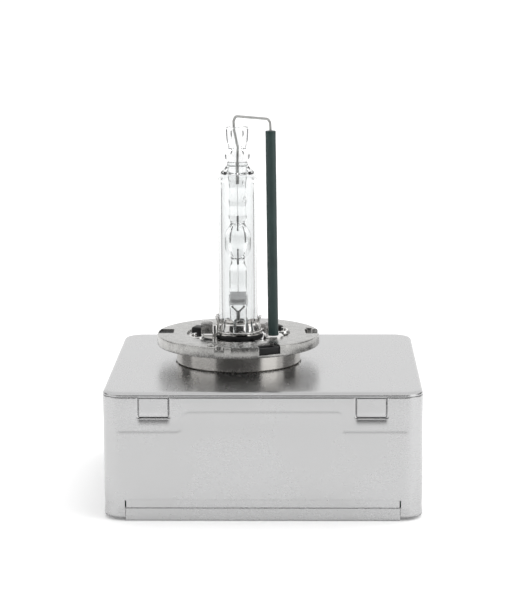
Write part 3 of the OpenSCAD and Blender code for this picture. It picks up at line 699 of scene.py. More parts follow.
def make_can():
    hw, hd = W / 2 - R_CORNER, D / 2 - R_CORNER
    slit, sslit = W / 2 - 5.05, D / 2 - 5.05
    px0, px1 = cs0[0] + 1.4 - CX, cs1[0] - 1.4 - CX
    pz0, pz1 = cs0[2] + 1.4, cs1[2] - 1.4
    HC = CLIP_W / 2
    cl = [-slit - 0.15, -slit - 0.04, -slit + 0.04, -slit + 0.15]
    cr_ = [-v for v in reversed(cl)]
    xf = subdivide([-hw] + cl + [-CLIP_X - HC, -CLIP_X + HC, CLIP_X - HC, CLIP_X + HC] + cr_ + [hw], 0.3)
    xb = subdivide(sorted([-hw] + cl + [-CLIP_X - HC, -CLIP_X + HC, px0, px1, CLIP_X - HC, CLIP_X + HC] + cr_ + [hw]), 0.3)
    ys = subdivide([-hd, -sslit - 0.15, -sslit - 0.04, -sslit + 0.04, -sslit + 0.15, sslit - 0.15, sslit - 0.04, sslit + 0.04, sslit + 0.15, hd], 2.0)
    S = stations(W, D, R_CORNER, inner(xf), inner(ys), 18, inner(xb))
    n = len(S)
    s0, s1 = TOP - CLIP_H - 0.42, TOP - CLIP_H - 0.62
    wall = [TOP - 1.13, TOP - 1.15, TOP - 1.2, TOP - 1.32] + subdivide([TOP - 1.5, s0, s1, TOP - 9.9], 0.22)
    wall += subdivide([TOP - 10.2, pz1, pz0, BOT + 5.5], 1.1)[0:]
    wall += subdivide([BOT + 5.3, BOT + 3.0, BOT + 1.9], 0.13)
    poly = recess_poly()
    lip = {0: 0.1, 1: 0.04, 2: 0.01}
    run = []
    for s in S:
        side = s[4]
        if side in "FB":
            u = s[0] if side == "F" else -s[0]
        elif side == "FR":
            u = hw + s[5] * R_CORNER * math.pi / 2
        elif side == "FL":
            u = -hw - (1 - s[5]) * R_CORNER * math.pi / 2
        elif side == "BL":
            u = hw + s[5] * R_CORNER * math.pi / 2
        elif side == "BR":
            u = -hw - (1 - s[5]) * R_CORNER * math.pi / 2
        else:
            u = None
        run.append(u)
    cache = {}

    def depth(k, z):
        u = run[k]
        if u is None or z < TOP - 10.2 or abs(u) > W / 2 + 1:
            return 0.0
        key = (round(u, 3), round(z, 3))
        if key not in cache:
            zr = z - TOP
            d = 0.046 * smooth(0.5 - signed_distance(poly, u, zr) / 0.8)
            # pocket behind each clip; below the slot it runs out to the panel again
            side_ = smooth((HC + 0.5 - abs(abs(u) - CLIP_X)) / 0.42)
            if zr > -CLIP_H - 0.64:
                q = 0.30 * smooth((zr + CLIP_H + 0.62) / 0.4) + 0.16
            else:
                f_ = max(0.0, min(1.0, (zr + 7.5) / 1.5)); q = 0.12 * f_ * f_ + 0.04 * f_
            cache[key] = d + side_ * q
        return cache[key]

    def is_hem(s):
        if s[4] in "FB":
            return abs(s[0]) < slit
        if s[4] in "LR":
            return abs(s[1]) < sslit
        return False

    def bead(s, z):
        a = smooth((BOT + 4.93 - z) / 0.26) * smooth((z - (BOT + 2.87)) / 0.26)
        if s[4] in "FB":
            f = smooth((hw + 0.4 - abs(s[0])) / 1.4)
        elif s[4] in "LR":
            f = smooth((hd + 0.4 - abs(s[1])) / 1.4)
        else:
            f = 0
        return 0.045 * a * f

    def wave(x, y, z):
        f = smooth((TOP - 2.2 - z) / 5) * smooth((z - BOT - 2) / 4)
        return f * (0.055 + 0.03 * noise.noise(Vector((x * 0.04, y * 0.04, z * 0.06 + 7))))

    V = []
    for i, z in enumerate(wall):
        for k, s in enumerate(S):
            ins = lip.get(i, 0.0) + depth(k, z) + bead(s, z)
            w_ = wave(s[0], s[1], z)
            ins += w_ + 0.13 * max(0.0, min(1.0, (z - BOT - 0.4) / 2.6)) * max(0.0, min(1.0, (BOT + 5.2 - z) / 2.2))
            V.append(at(s, ins, z))
    hz = BOT + 0.03
    hem = [(0.5 - 0.5 * math.cos(math.radians(18 * k)), hz + 0.7 - 0.7 * math.sin(math.radians(18 * k))) for k in range(6)] + [(1.7, hz), (3.1, hz)]
    foot = [(0.8 - 0.8 * math.cos(math.radians(16 * k)), BOT + 1.4 - 0.8 * math.sin(math.radians(16 * k))) for k in range(6)] + [(1.0, BOT + 0.6), (1.5, BOT + 0.6)]
    for (ia, za), (ib, zb) in zip(hem, foot):
        for s in S:
            V.append(at(s, ia, za) if is_hem(s) else at(s, ib, zb))
    m = len(wall) + len(hem)
    zrow = wall + [BOT + 0.1] * len(hem)

    def skip(a, k):
        s, s2 = S[k], S[(k + 1) % n]
        z = (zrow[a] + zrow[min(a + 1, m - 1)]) / 2
        if a >= len(wall) - 1:
            z = BOT
        if s[4] == s2[4] and s[4] in "FB":
            x = (s[0] + s2[0]) / 2
            if abs(abs(x) - CLIP_X) < HC and s1 < z < s0:
                return True
            if abs(abs(x) - slit) < 0.15 and BOT + 3.0 < z < BOT + 4.6:
                return True
            if abs(abs(x) - slit) < 0.04 and z < BOT + 3.0:
                return True
            if s[4] == "B" and px0 < x < px1 and pz0 < z < pz1:
                return True
        if s[4] == s2[4] and s[4] in "LR":
            y = (s[1] + s2[1]) / 2
            if abs(abs(y) - sslit) < 0.15 and BOT + 3.0 < z < BOT + 4.6:
                return True
            if abs(abs(y) - sslit) < 0.04 and z < BOT + 3.0:
                return True
        return False

    F = ring_faces(n, m, False, skip)
    ob = new_object("can_shell", V, F, "box", 50)
    bm = bmesh.new(); bm.from_mesh(ob.data)
    loose = [v for v in bm.verts if not v.link_faces]
    bmesh.ops.delete(bm, geom=loose, context="VERTS")
    bm.to_mesh(ob.data); bm.free()
    so = ob.modifiers.new("sheet", "SOLIDIFY")
    so.thickness = SHEET * MM
    so.offset = -1
    so.use_even_offset = True
    so.use_rim = True
    apply_mods(ob)
    finish_mesh(ob, 50)
    return place(ob, "housing_can")


def make_bottom():
    b0, b1 = nbox("bottom_plate")
    w, d = b1[0] - b0[0], b1[1] - b0[1]
    r = R_CORNER - 0.7
    hw, hd = w / 2 - r, d / 2 - r
    S = stations(w, d, r, inner(subdivide([-hw, hw], 2)), inner(subdivide([-hd, hd], 2)), 12)
    pz = BOT + 0.65
    inner_in = (w - (W - 11)) / 2
    rr = [(3.2 + inner_in * 0, pz + SHEET)]
    rings = []
    ri = min(r - 0.4, inner_in + 0.2)
    prof = []
    # upper side from the middle outwards, down the rim, then back along the underside
    prof = [("M", 6.0, BOT + SHEET), ("M", 0.75, BOT + SHEET), ("M", 0.25, BOT + SHEET + 0.15), ("M", 0.05, pz + SHEET - 0.1), ("P", ri * 0.7, pz + SHEET), ("P", 0.2, pz + SHEET), ("P", 0.04, pz + SHEET - 0.08), ("P", 0.0, pz + SHEET - 0.2),
            ("P", 0.0, pz + 0.2), ("P", 0.04, pz + 0.08), ("P", 0.2, pz), ("P", ri * 0.7, pz), ("M", -0.35, pz - 0.02), ("M", 0.0, BOT + 0.35), ("M", 0.12, BOT + 0.12), ("M", 0.4, BOT), ("M", 6.0, BOT)]
    w2, d2, r2 = W - 11, D - 11, 3.0
    S2 = stations(w2, d2, r2, inner(subdivide([-(w2 / 2 - r2), w2 / 2 - r2], (w2 - 2 * r2) / (len(inner(subdivide([-hw, hw], 2))) + 1))), inner(subdivide([-(d2 / 2 - r2), d2 / 2 - r2], (d2 - 2 * r2) / (len(inner(subdivide([-hd, hd], 2))) + 1))), 12)
    assert len(S) == len(S2)
    for kind, ins, z in prof:
        src = S if kind == "P" else S2
        q = []
        for s in src:
            if ins > 2.5 and kind == "M":
                # towards the middle: scale instead of offset
                f = 0.55
                q.append((CX + s[0] * f, CY + s[1] * f, z))
            else:
                q.append(at(s, ins, z))
        rings.append(q)
    n = len(S)
    V = [v for r_ in rings for v in r_]
    F = ring_faces(n, len(rings), False)
    F.append(tuple(range(n)))
    F.append(tuple(range((len(rings) - 1) * n, len(rings) * n))[::-1])
    ob = new_object("base_plate", V, F, "box", 35)
    bm = bmesh.new(); bm.from_mesh(ob.data)
    bmesh.ops.recalc_face_normals(bm, faces=bm.faces)
    bm.to_mesh(ob.data); bm.free()
    finish_mesh(ob, 35)
    return place(ob, "bottom_plate")


def make_connector():
    x0, x1 = cs0[0] + 1.5, cs1[0] - 1.5
    z0, z1 = cs0[2] + 1.5, cs1[2] - 1.5
    y0, y1 = cs0[1], cs1[1]
    xm, zm = (x0 + x1) / 2, (z0 + z1) / 2

    def yprism(name, outline, ya, yb):
        ob = prism(name, outline, ya, yb, "black")
        # outline is (x, z); stand it along Y
        for v in ob.data.vertices:
            x, z, y = v.co
            v.co = (x, y, z)
        ob.data.flip_normals()
        return ob

    def rr(xa, xb_, za, zb_, r, n=5):
        return fillet([(xa, za, r), (xb_, za, r), (xb_, zb_, r), (xa, zb_, r)], n)

    body = yprism("socket_shell", rr(x0, x1, z0, z1, 0.8), y0, y1)
    fl = yprism("fl", rr(cs0[0], cs1[0], cs0[2], cs1[2], 1.2), y1 - 0.6 - 1.6, y1 - 0.6 - 0.1)
    boolean(body, [fl], "UNION")
    key = yprism("key", rr(xm - 1.2, xm + 1.2, z1 - 1.5, z1 - 0.6, 0.15, 3), y1 - 10, y1 + 1)
    hol = yprism("hol", rr(x0 + 1.3, x1 - 1.3, z0 + 1.3, z1 - 1.3, 0.5), y1 - 10, y1 + 1)
    boolean(body, [hol, key])
    bevel(body, 0.16, 3, 40)
    apply_mods(body)
    finish_mesh(body, 40)
    place(body, "connector_shell")
    # pins with bullet tips, each bent down into the board
    sp0, sp1 = nbox("supply_pins")
    V, F = [], []
    for s in (-1, 1):
        px = xm + s * 4
        prof = [(0, -0.75), (1.0, -0.75), (1.0, 4.0), (0.95, 4.05), (0.75, 4.1), (0.75, 9.9), (0.72, 10.15), (0.62, 10.4), (0.45, 10.65), (0.25, 10.78), (0, 10.8)]
        v, f = lathe_data([(prof, False)], 40)
        ya = y1 - 10 - 4
        v = [(px + a, ya + c, zm - b) for a, b, c in v]
        o = len(V); V += v; F += [tuple(i + o for i in q) for q in f]
        prof = [(0, sp0[2]), (0.5, sp0[2]), (0.65, sp0[2] + 0.15), (0.65, zm - 0.1), (0, zm - 0.1)]
        v, f = lathe_data([(prof, False)], 40)
        v = [(px + a, ya + b, c) for a, b, c in v]
        o = len(V); V += v; F += [tuple(i + o for i in q) for q in f]
    place(new_object("pin_pair", V, F, "brass", 35), "supply_pins")


# ------------------------------------------------------------ ring and neck


def make_neck():
    n0, n1 = nbox("neck_collar")
    fr = n1[0]
    z0, z1 = n0[2], n1[2]
    prof = fillet([(NECK_R - 1.3, z0, 0.2), (fr, z0, 0.3), (fr, TOP - SHEET - 0.06, 0.25), (NECK_R - 0.3, TOP - SHEET - 0.06, 0.0), (NECK_R - 0.3, TOP + 0.26, 0.06), (NECK_R, TOP + 0.30, 0.1), (NECK_R, z1, 0.0), (NECK_R - 1.3, z1, 0)], 5)
    return place(lathe("neck_sleeve", [(prof, False)], "neck", 192), "neck_collar")


def make_ring():
    rz0 = ring0[2]
    rr_ = RING_R
    prof = fillet([
        (WELL_R, 0.0, 0.25), (rr_, 0.0, 0.32), (rr_, rz0, 0.35), (12.3, rz0, 0.15), (12.3, rz0 + 0.5, 0.15),
        (WELL_R - 1.0, rz0 + 0.5, 0.15), (WELL_R - 1.0, -1.12, 0.1), (WELL_R, -1.12, 0.05)], 6)
    ob = lathe("seat_ring", [(prof, False)], "ring", 240)

    def zprism(name, outline, z0, z1, rot=0.0):
        c, s = math.cos(math.radians(rot)), math.sin(math.radians(rot))
        return prism(name, [(x * c - y * s, x * s + y * c) for x, y in outline], z0, z1, "ring")

    def rr(xa, xb_, ya, yb_, r, n=4):
        return fillet([(xa, ya, r), (xb_, ya, r), (xb_, yb_, r), (xa, yb_, r)], n)

    cuts = [
        zprism("c1", rr(-18.65, -15.2, -1.2, 3.9, 0.3), -1.8, 1),
        zprism("c2", rr(15.0, 20.5, -2.6, 2.6, 0.3), -1.9, 1, -66),
        zprism("c3", rr(15.7, 20.5, -2.6, 2.6, 0.4), -1.2, 1, 4),
        zprism("c4", [(-3.85 + 1.2 * math.cos(math.radians(10 * k)), -18.8 + 0.95 * math.sin(math.radians(10 * k))) for k in range(36)], -0.7, 1),
    ]
    # low step in the rim at the front
    aa = [math.radians(-93.5 + 20.0 * k / 24) for k in range(25)]
    cuts.append(zprism("c5", [((rr_ + 1) * math.cos(t_), (rr_ + 1) * math.sin(t_)) for t_ in aa] + [((rr_ - 0.2) * math.cos(t_), (rr_ - 0.2) * math.sin(t_)) for t_ in aa[::-1]], -0.5, 1))
    boolean(ob, cuts)
    adds = [
        lathe("a1", [([(0, -0.3), (0.95, -0.3), (0.95, 0.10), (0.88, 0.26), (0.68, 0.42), (0.36, 0.52), (0, 0.55)], False)], "ring", 36, (-5.7, -16.3, 0)),
        zprism("a2", rr(16.2, 17.6, -0.5, 1.3, 0.3), -1.6, 0.55, 10),
    ]
    boolean(ob, adds, "UNION")
    bevel(ob, 0.07, 3, 32)
    apply_mods(ob)
    finish_mesh(ob, 32)
    place(ob, "base_ring")
    # black block in the front right notch, a shallow tray with a broken edge: its black is painted shade for the
    # shadowed cavity of the notch
    k0, k1 = nbox("key_insert")
    kb = zprism("notch_shade_block", rr(15.06, rr_ - 0.32, -2.54, 2.54, 0.28), k0[2] + 0.01, k1[2] - 0.02, -66)
    kb.data.materials.clear(); kb.data.materials.append(M["black"])
    tray = zprism("t", rr(15.7, rr_ - 1.1, -1.8, 1.8, 0.3), -1.15, 1, -66)
    tray.data.materials.clear(); tray.data.materials.append(M["black"])
    boolean(kb, [tray])
    bevel(kb, 0.12, 3, 35)
    apply_mods(kb)
    finish_mesh(kb, 35)
    # black block in the left slot: its black is painted shade for the shadowed cavity of the slot
    left = zprism("slot_shade_block", rr(-rr_ + 0.42, -15.27, -1.13, 3.83, 0.25), -1.79, k1[2] - 0.04)
    left.data.materials.clear(); left.data.materials.append(M["black"])
    bevel(left, 0.1, 2, 35)
    apply_mods(left)
    bm = bmesh.new(); bm.from_mesh(kb.data); bm.from_mesh(left.data)
    bm.to_mesh(kb.data); bm.free()
    drop(left)
    finish_mesh(kb, 35)
    place(kb, "key_insert")


def sheet_strip(path, x0, x1, t, frame_fn, corner=0.5, nc=5):
    """A bent strip: path is a list of (a, b) along the bend, x0..x1 its width; frame_fn maps (a, b, w) to a point."""
    outer = path
    inn = []
    for i, p in enumerate(outer):
        a = Vector(outer[max(0, i - 1)]); b = Vector(outer[min(len(outer) - 1, i + 1)])
        d = (b - a).normalized()
        inn.append((p[0] - d.y * t, p[1] + d.x * t))
    # width shrinks at the far end, which rounds its corners
    ln = [0.0]
    for a, b in zip(outer, outer[1:]):
        ln.append(ln[-1] + (Vector(b) - Vector(a)).length)
    V, F = [], []
    cols = [x0, x0 + 0.08, x1 - 0.08, x1]
    n = len(outer)
    for ci, c in enumerate(cols):
        for side in (outer, inn):
            for i, (a, b) in enumerate(side):
                rest = ln[-1] - ln[i]
                cut = 0.0
                if rest < corner:
                    cut = corner - math.sqrt(max(0.0, corner * corner - (corner - rest) ** 2))
                w = c + (cut if c < (x0 + x1) / 2 else -cut)
                V.append(frame_fn(a, b, w))
    m = 2 * n
    for ci in range(3):
        A, B_ = ci * m, (ci + 1) * m
        for i in range(n - 1):
            F.append((A + i, B_ + i, B_ + i + 1, A + i + 1))
            F.append((A + n + i + 1, B_ + n + i + 1, B_ + n + i, A + n + i))
        F.append((A + n, B_ + n, B_, A))
        F.append((A + n - 1, B_ + n - 1, B_ + 2 * n - 1, A + 2 * n - 1))
    for ci, flip in ((0, False), (3, True)):
        A = ci * m
        for i in range(n - 1):
            q = (A + i, A + i + 1, A + n + i + 1, A + n + i)
            F.append(q[::-1] if flip else q)
    return V, F


def join_parts(name, parts, mat, angle=35, recalc=True):
    V, F = [], []
    for vv, ff in parts:
        o = len(V)
        V += [tuple(v) for v in vv]
        F += [tuple(i + o for i in f) for f in ff]
    ob = new_object(name, V, F, mat, angle)
    if recalc:
        bm = bmesh.new(); bm.from_mesh(ob.data)
        bmesh.ops.recalc_face_normals(bm, faces=bm.faces)
        bm.to_mesh(ob.data); bm.free()
        finish_mesh(ob, angle)
    return ob


def make_tongues():
    pz = -1.1
    t = 0.5
    # the plate itself: a disc with openings, cut exactly, then its edges rounded
    disc = lathe("holder_plate", [([(5.9, pz), (WELL_R - 0.12, pz), (WELL_R - 0.12, pz + t), (5.9, pz + t)], False)], "spring", 160)

    def sector(a0, a1, r0, r1, n=14):
        o = [(r1 * math.cos(math.radians(a0 + (a1 - a0) * k / n)), r1 * math.sin(math.radians(a0 + (a1 - a0) * k / n)), 0.6 if k in (0, n) else 0) for k in range(n + 1)]
        i = [(r0 * math.cos(math.radians(a1 + (a0 - a1) * k / n)), r0 * math.sin(math.radians(a1 + (a0 - a1) * k / n)), 0.6 if k in (0, n) else 0) for k in range(n + 1)]
        return fillet(o + i, 4)

    cuts = [prism("s", sector(128, 177, 7.1, 11.4), pz - 1, pz + 2), prism("s", sector(14, 52, 7.1, 11.4), pz - 1, pz + 2),
            prism("s", sector(-96, -60, 5.0, 10.0), pz - 1, pz + 2), prism("s", sector(-126, -95.5, 5.0, 7.5), pz - 1, pz + 2),
            prism("s", [(8.3 + 2.1 * math.cos(math.radians(10 * k)), -5.6 + 2.1 * math.sin(math.radians(10 * k))) for k in range(36)], pz - 1, pz + 2)]
    boolean(disc, cuts)
    bevel(disc, 0.1, 2, 35)
    apply_mods(disc)
    finish_mesh(disc, 35)

    def up(yo, x0, x1, h, r=0.5, lean=0.0, curl=0.0):
        """Tongue folded up from the plate; it rises from y = yo at the plate."""
        path = [(yo - 1.4, pz + t)]
        path += [(yo - 0.55 + 0.55 * math.sin(math.radians(18 * k)), pz + t + 0.55 - 0.55 * math.cos(math.radians(18 * k))) for k in range(6)]
        m = 8
        for k in range(1, m + 1):
            f = k / m
            path.append((yo + lean * f + curl * f * f * f, pz + t + 0.55 + (h - pz - t - 0.55) * f))
        path = path[::-1]
        path = path[::-1]
        return sheet_strip(path, x0, x1, -t, lambda a, b, w: (w, a, b), r)

    parts = [up(-0.60, -8.7, -5.9, 3.0, 0.9, 0.05, 0.0), up(0.30, 6.0, 9.0, 2.5, 0.9, 0.05, 0.0)]
    # the third one stands at the back, square to the others
    path = [(-1.4, pz + t)] + [(-0.55 + 0.55 * math.sin(math.radians(18 * k)), pz + t + 0.55 - 0.55 * math.cos(math.radians(18 * k))) for k in range(6)]
    path += [(0.02 * k, pz + t + 0.55 + (2.9 - pz - t - 0.55) * k / 8) for k in range(1, 9)]
    parts.append(sheet_strip(path, 6.05, 9.4, -t, lambda a, b, w: (a, w, b), 0.5))

    # curled lips: rolled ends of the sheet, like a small scroll, left and right of the clamp
    def scroll(cx_, cy_, r, z0, z1, a0, a1, tail, t=0.5):
        V, F = [], []
        n = 30
        pts_o, pts_i = [], []
        for k in range(n + 1):
            a = math.radians(a0 + (a1 - a0) * k / n)
            pts_o.append((cx_ + r * math.cos(a), cy_ + r * math.sin(a)))
            pts_i.append((cx_ + (r - t) * math.cos(a), cy_ + (r - t) * math.sin(a)))
        loop = pts_o + pts_i[::-1]
        m_ = len(loop)
        rows = [(z0, 0.0), (z1 - 0.14, 0.0), (z1 - 0.04, 0.06), (z1, 0.16)]
        for z, sh in rows:
            for j, (x, y) in enumerate(loop):
                jj = j if j <= n else 2 * n + 1 - j
                o, i_ = pts_o[jj], pts_i[jj]
                mx, my = (o[0] + i_[0]) / 2, (o[1] + i_[1]) / 2
                f = 1 - sh / (t / 2) * 0.75
                V.append((mx + (x - mx) * f, my + (y - my) * f, z + (0.25 * math.sin(math.radians(a0 + (a1 - a0) * jj / n) * 1.0) if z > z0 else 0)))
        for a in range(len(rows) - 1):
            for k in range(m_):
                k2 = (k + 1) % m_
                F.append((a * m_ + k, a * m_ + k2, (a + 1) * m_ + k2, (a + 1) * m_ + k))
        for j in range(n):
            F.append((j, j + 1, 2 * n - j, 2 * n + 1 - j)[::-1])
            b = (len(rows) - 1) * m_
            F.append((b + j, b + j + 1, b + 2 * n - j, b + 2 * n + 1 - j))
        return V, F

    # flared collar round the foot of the ceramic tube
    col = fillet([(1.27, pz + t - 0.02, 0.03), (2.35, pz + t - 0.02, 0.05), (2.28, 0.30, 0.12), (2.0, 0.58, 0.15), (1.27, 0.66, 0.05)], 4)
    parts.append(lathe_data([(col, False)], 64, (TUBE_FOOT, TUBE_Y, 0)))
    parts.append(scroll(-5.35, -3.8, 0.6, pz + t - 0.05, 2.75, -185, 75, 0, 0.3))
    parts.append(scroll(-9.6, -3.2, 1.7, pz + t - 0.05, pz + 1.05, 95, 395, 0))
    parts.append(scroll(10.1, -0.6, 1.6, pz + t - 0.05, pz + 1.9, 140, 450, 0))
    tg = join_parts("tongues", parts, "spring", 40)
    # one object: the plate with its tongues
    bpy.context.view_layer.update()
    me = disc.data
    bm = bmesh.new(); bm.from_mesh(me); bm.from_mesh(tg.data)
    bm.to_mesh(me); bm.free()
    drop(tg)
    finish_mesh(disc, 38)
    return place(disc, "tongue_plate")


def make_clamp():
    """Spring clamp: a band with twelve leaves that press on the glass and flare out above it."""
    c0, c1 = nbox("clamp_ring")
    rmax, zt = c1[0], c1[2]
    n = 12
    t = 0.28
    rnd = random.Random(5)
    parts = []
    zb = c0[2]
    band = fillet([(JR + 0.12, zb + 0.02, 0), (rmax - 0.05, zb + 0.02, 0.08), (rmax - 0.05, zb + 0.85, 0.12), (rmax - 0.42, zb + 0.9, 0.1), (JR + 0.12, zb + 0.8, 0)], 3)
    parts.append(lathe_data([(band, False)], 96))
    for i in range(n):
        az = 2 * math.pi * (i + 0.3) / n + rnd.uniform(-0.04, 0.04)
        h = zt - rnd.uniform(0.0, 0.35)
        ca, sa = math.cos(az), math.sin(az)
        half = 1.02
        path = [(rmax - 0.42, 0.3), (rmax - 0.28, 0.75), (rmax - 0.34, 1.3), (rmax - 0.5, 2.0), (rmax - 0.58, 2.7), (rmax - 0.5, 3.2), (rmax - 0.3, h - 0.35), (rmax - 0.06, h - 0.02)]
        P = []
        for a, b in zip(path, path[1:]):
            P += [(a[0] + (b[0] - a[0]) * k / 3, a[1] + (b[1] - a[1]) * k / 3) for k in range(3)]
        P.append(path[-1])
        # smooth the path
        for _ in range(2):
            P = [P[0]] + [((P[j - 1][0] + 2 * P[j][0] + P[j + 1][0]) / 4, (P[j - 1][1] + 2 * P[j][1] + P[j + 1][1]) / 4) for j in range(1, len(P) - 1)] + [P[-1]]

        # each leaf is crowned across its width, like a folded gutter
        V, F = [], []
        cols = [-1, -0.92, -0.6, -0.2, 0.2, 0.6, 0.92, 1]
        ln = [0.0]
        for a, b in zip(P, P[1:]):
            ln.append(ln[-1] + math.dist(a, b))
        m_ = len(P)
        for face in (0, 1):
            for c in cols:
                for j, (r, z) in enumerate(P):
                    rest = ln[-1] - ln[j]
                    cut = 0.0
                    if rest < 0.7:
                        cut = 0.7 - math.sqrt(max(0.0, 0.49 - (0.7 - rest) ** 2))
                    wv = c * (half - cut * 0.9)
                    crown = 0.20 * (1 - c * c) * smooth(ln[j] / 1.2)
                    rr_ = r - (t if face == 0 else 0) + crown - 0.14 * smooth(ln[j] / 1.2)
                    rr_ = max(rr_, JR + 0.05)
                    rr_ = min(rr_, rmax)
                    V.append((rr_ * ca - wv * sa, rr_ * sa + wv * ca, z))
        nc_ = len(cols)
        for face in (0, 1):
            o = face * nc_ * m_
            for c in range(nc_ - 1):
                for j in range(m_ - 1):
                    q = (o + c * m_ + j, o + (c + 1) * m_ + j, o + (c + 1) * m_ + j + 1, o + c * m_ + j + 1)
                    F.append(q if face else q[::-1])
        o = nc_ * m_
        for c in range(nc_ - 1):
            F.append((c * m_, (c + 1) * m_, o + (c + 1) * m_, o + c * m_))
            F.append((c * m_ + m_ - 1, o + c * m_ + m_ - 1, o + (c + 1) * m_ + m_ - 1, (c + 1) * m_ + m_ - 1))
        for j in range(m_ - 1):
            F.append((j, o + j, o + j + 1, j + 1))
            k = (nc_ - 1) * m_
            F.append((k + j, k + j + 1, o + k + j + 1, o + k + j))
        parts.append((V, F))
    ob = join_parts("spring_clamp", parts, "spring", 45)
    return place(ob, "clamp_ring")


def make_socket():
    s0, s1 = nbox("burner_socket")
    R = s1[0]
    bt = nbox("clamp_ring")[0][2] - 0.07
    prof = fillet([(0.9, s0[2], 0.1), (R, s0[2], 0.3), (R, -3.1, 0.25), (5.75, -3.1, 0.4), (5.7, bt, 0.25), (JR + 0.06, bt, 0.1), (JR + 0.06, -1.3, 0.1), (2.1, -1.3, 0.1), (2.1, -3.6, 0.1), (0.9, -3.6, 0.1)], 4)
    ob = lathe("lamp_socket", [(prof, False)], "black", 144)
    ty = TUBE_Y

    def post(name, r, z0, z1, x, y):
        return prism(name, [(x + r * math.cos(math.radians(7.5 * k)), y + r * math.sin(math.radians(7.5 * k))) for k in range(48)], z0, z1, "black")

    boolean(ob, [post("p", 2.0, -4, -0.72, 8.29, ty)], "UNION")
    boolean(ob, [post("p", 1.3, -6.1, 2, 8.32, ty), post("p", 0.6, -10, -4, TUBE_FOOT, ty)])
    # lugs that stand up through the holder plate's rear openings

    def lug(a, b, rot, top):
        c, s = math.cos(math.radians(rot)), math.sin(math.radians(rot))
        o = fillet([(a[0], a[1], 0.45), (b[0], a[1], 0.45), (b[0], b[1], 0.45), (a[0], b[1], 0.45)], 4)
        l = prism("lug", [(x * c - y * s, x * s + y * c) for x, y in o], -4, top, "black")
        bevel(l, 0.3, 3, 50)
        return apply_mods(l)

    boolean(ob, [lug((8.25, -1.55), (11.15, 1.75), 162, 0.86), lug((9.85, -1.35), (11.15, 1.55), 26, 0.87)], "UNION")
    # moulded ribs on the upper face, seen through the plate's openings
    ribs = []
    for k in range(12):
        a = 30 * k + 9
        if abs(((a + 34.3 + 180) % 360) - 180) < 22:
            continue
        c, s = math.cos(math.radians(a)), math.sin(math.radians(a))
        pts = [(6.2, -0.35), (11.6, -0.35), (11.6, 0.35), (6.2, 0.35)]
        ribs.append(prism("r", [(x * c - y * s, x * s + y * c) for x, y in pts], -3.4, -2.3, "black"))
    boolean(ob, ribs, "UNION")
    bevel(ob, 0.08, 2, 35)
    apply_mods(ob)
    finish_mesh(ob, 35)
    return place(ob, "burner_socket")


# ------------------------------------------------------------------- burner


def catmull(pts, n=6):
    out = []
    m = len(pts)
    for i in range(m - 1):
        p0, p1, p2, p3 = pts[max(0, i - 1)], pts[i], pts[i + 1], pts[min(m - 1, i + 2)]
        for k in range(n):
            t = k / n
            out.append(tuple(0.5 * (2 * p1[d] + (p2[d] - p0[d]) * t + (2 * p0[d] - 5 * p1[d] + 4 * p2[d] - p3[d]) * t * t + (3 * p1[d] - p0[d] - 3 * p2[d] + p3[d]) * t ** 3) for d in (0, 1)))
    out.append(pts[-1])
    return out


ARC = 22.0


def make_jacket():
    z0, z1 = jk0[2], jk1[2]
    ji = JR - 0.9
    ro = catmull([(JR, 35.2), (JR - 0.02, 36.0), (JR - 0.35, 37.2), (JR - 1.05, 38.25), (2.85, 38.95), (2.5, 39.5), (2.42, z1 - 0.1)], 5)
    ri = catmull([(2.26, 37.6), (2.5, 37.46), (2.9, 37.33), (ji - 0.35, 36.98), (ji - 0.05, 36.2), (ji, 35.3)], 5)
    prof = fillet([(ji, z0, 0.2), (JR, z0, 0.2)], 3) if False else [(ji + 0.12, z0), (JR - 0.12, z0), (JR - 0.03, z0 + 0.04), (JR, z0 + 0.15)]
    prof = prof + ro + [(2.36, z1), (2.26, z1 - 0.02)] + ri + [(ji, z0 + 0.15), (ji + 0.03, z0 + 0.04)]
    return place(lathe("glass_jacket", [(prof, False)], "jacket", 160, angle=60), "outer_jacket")


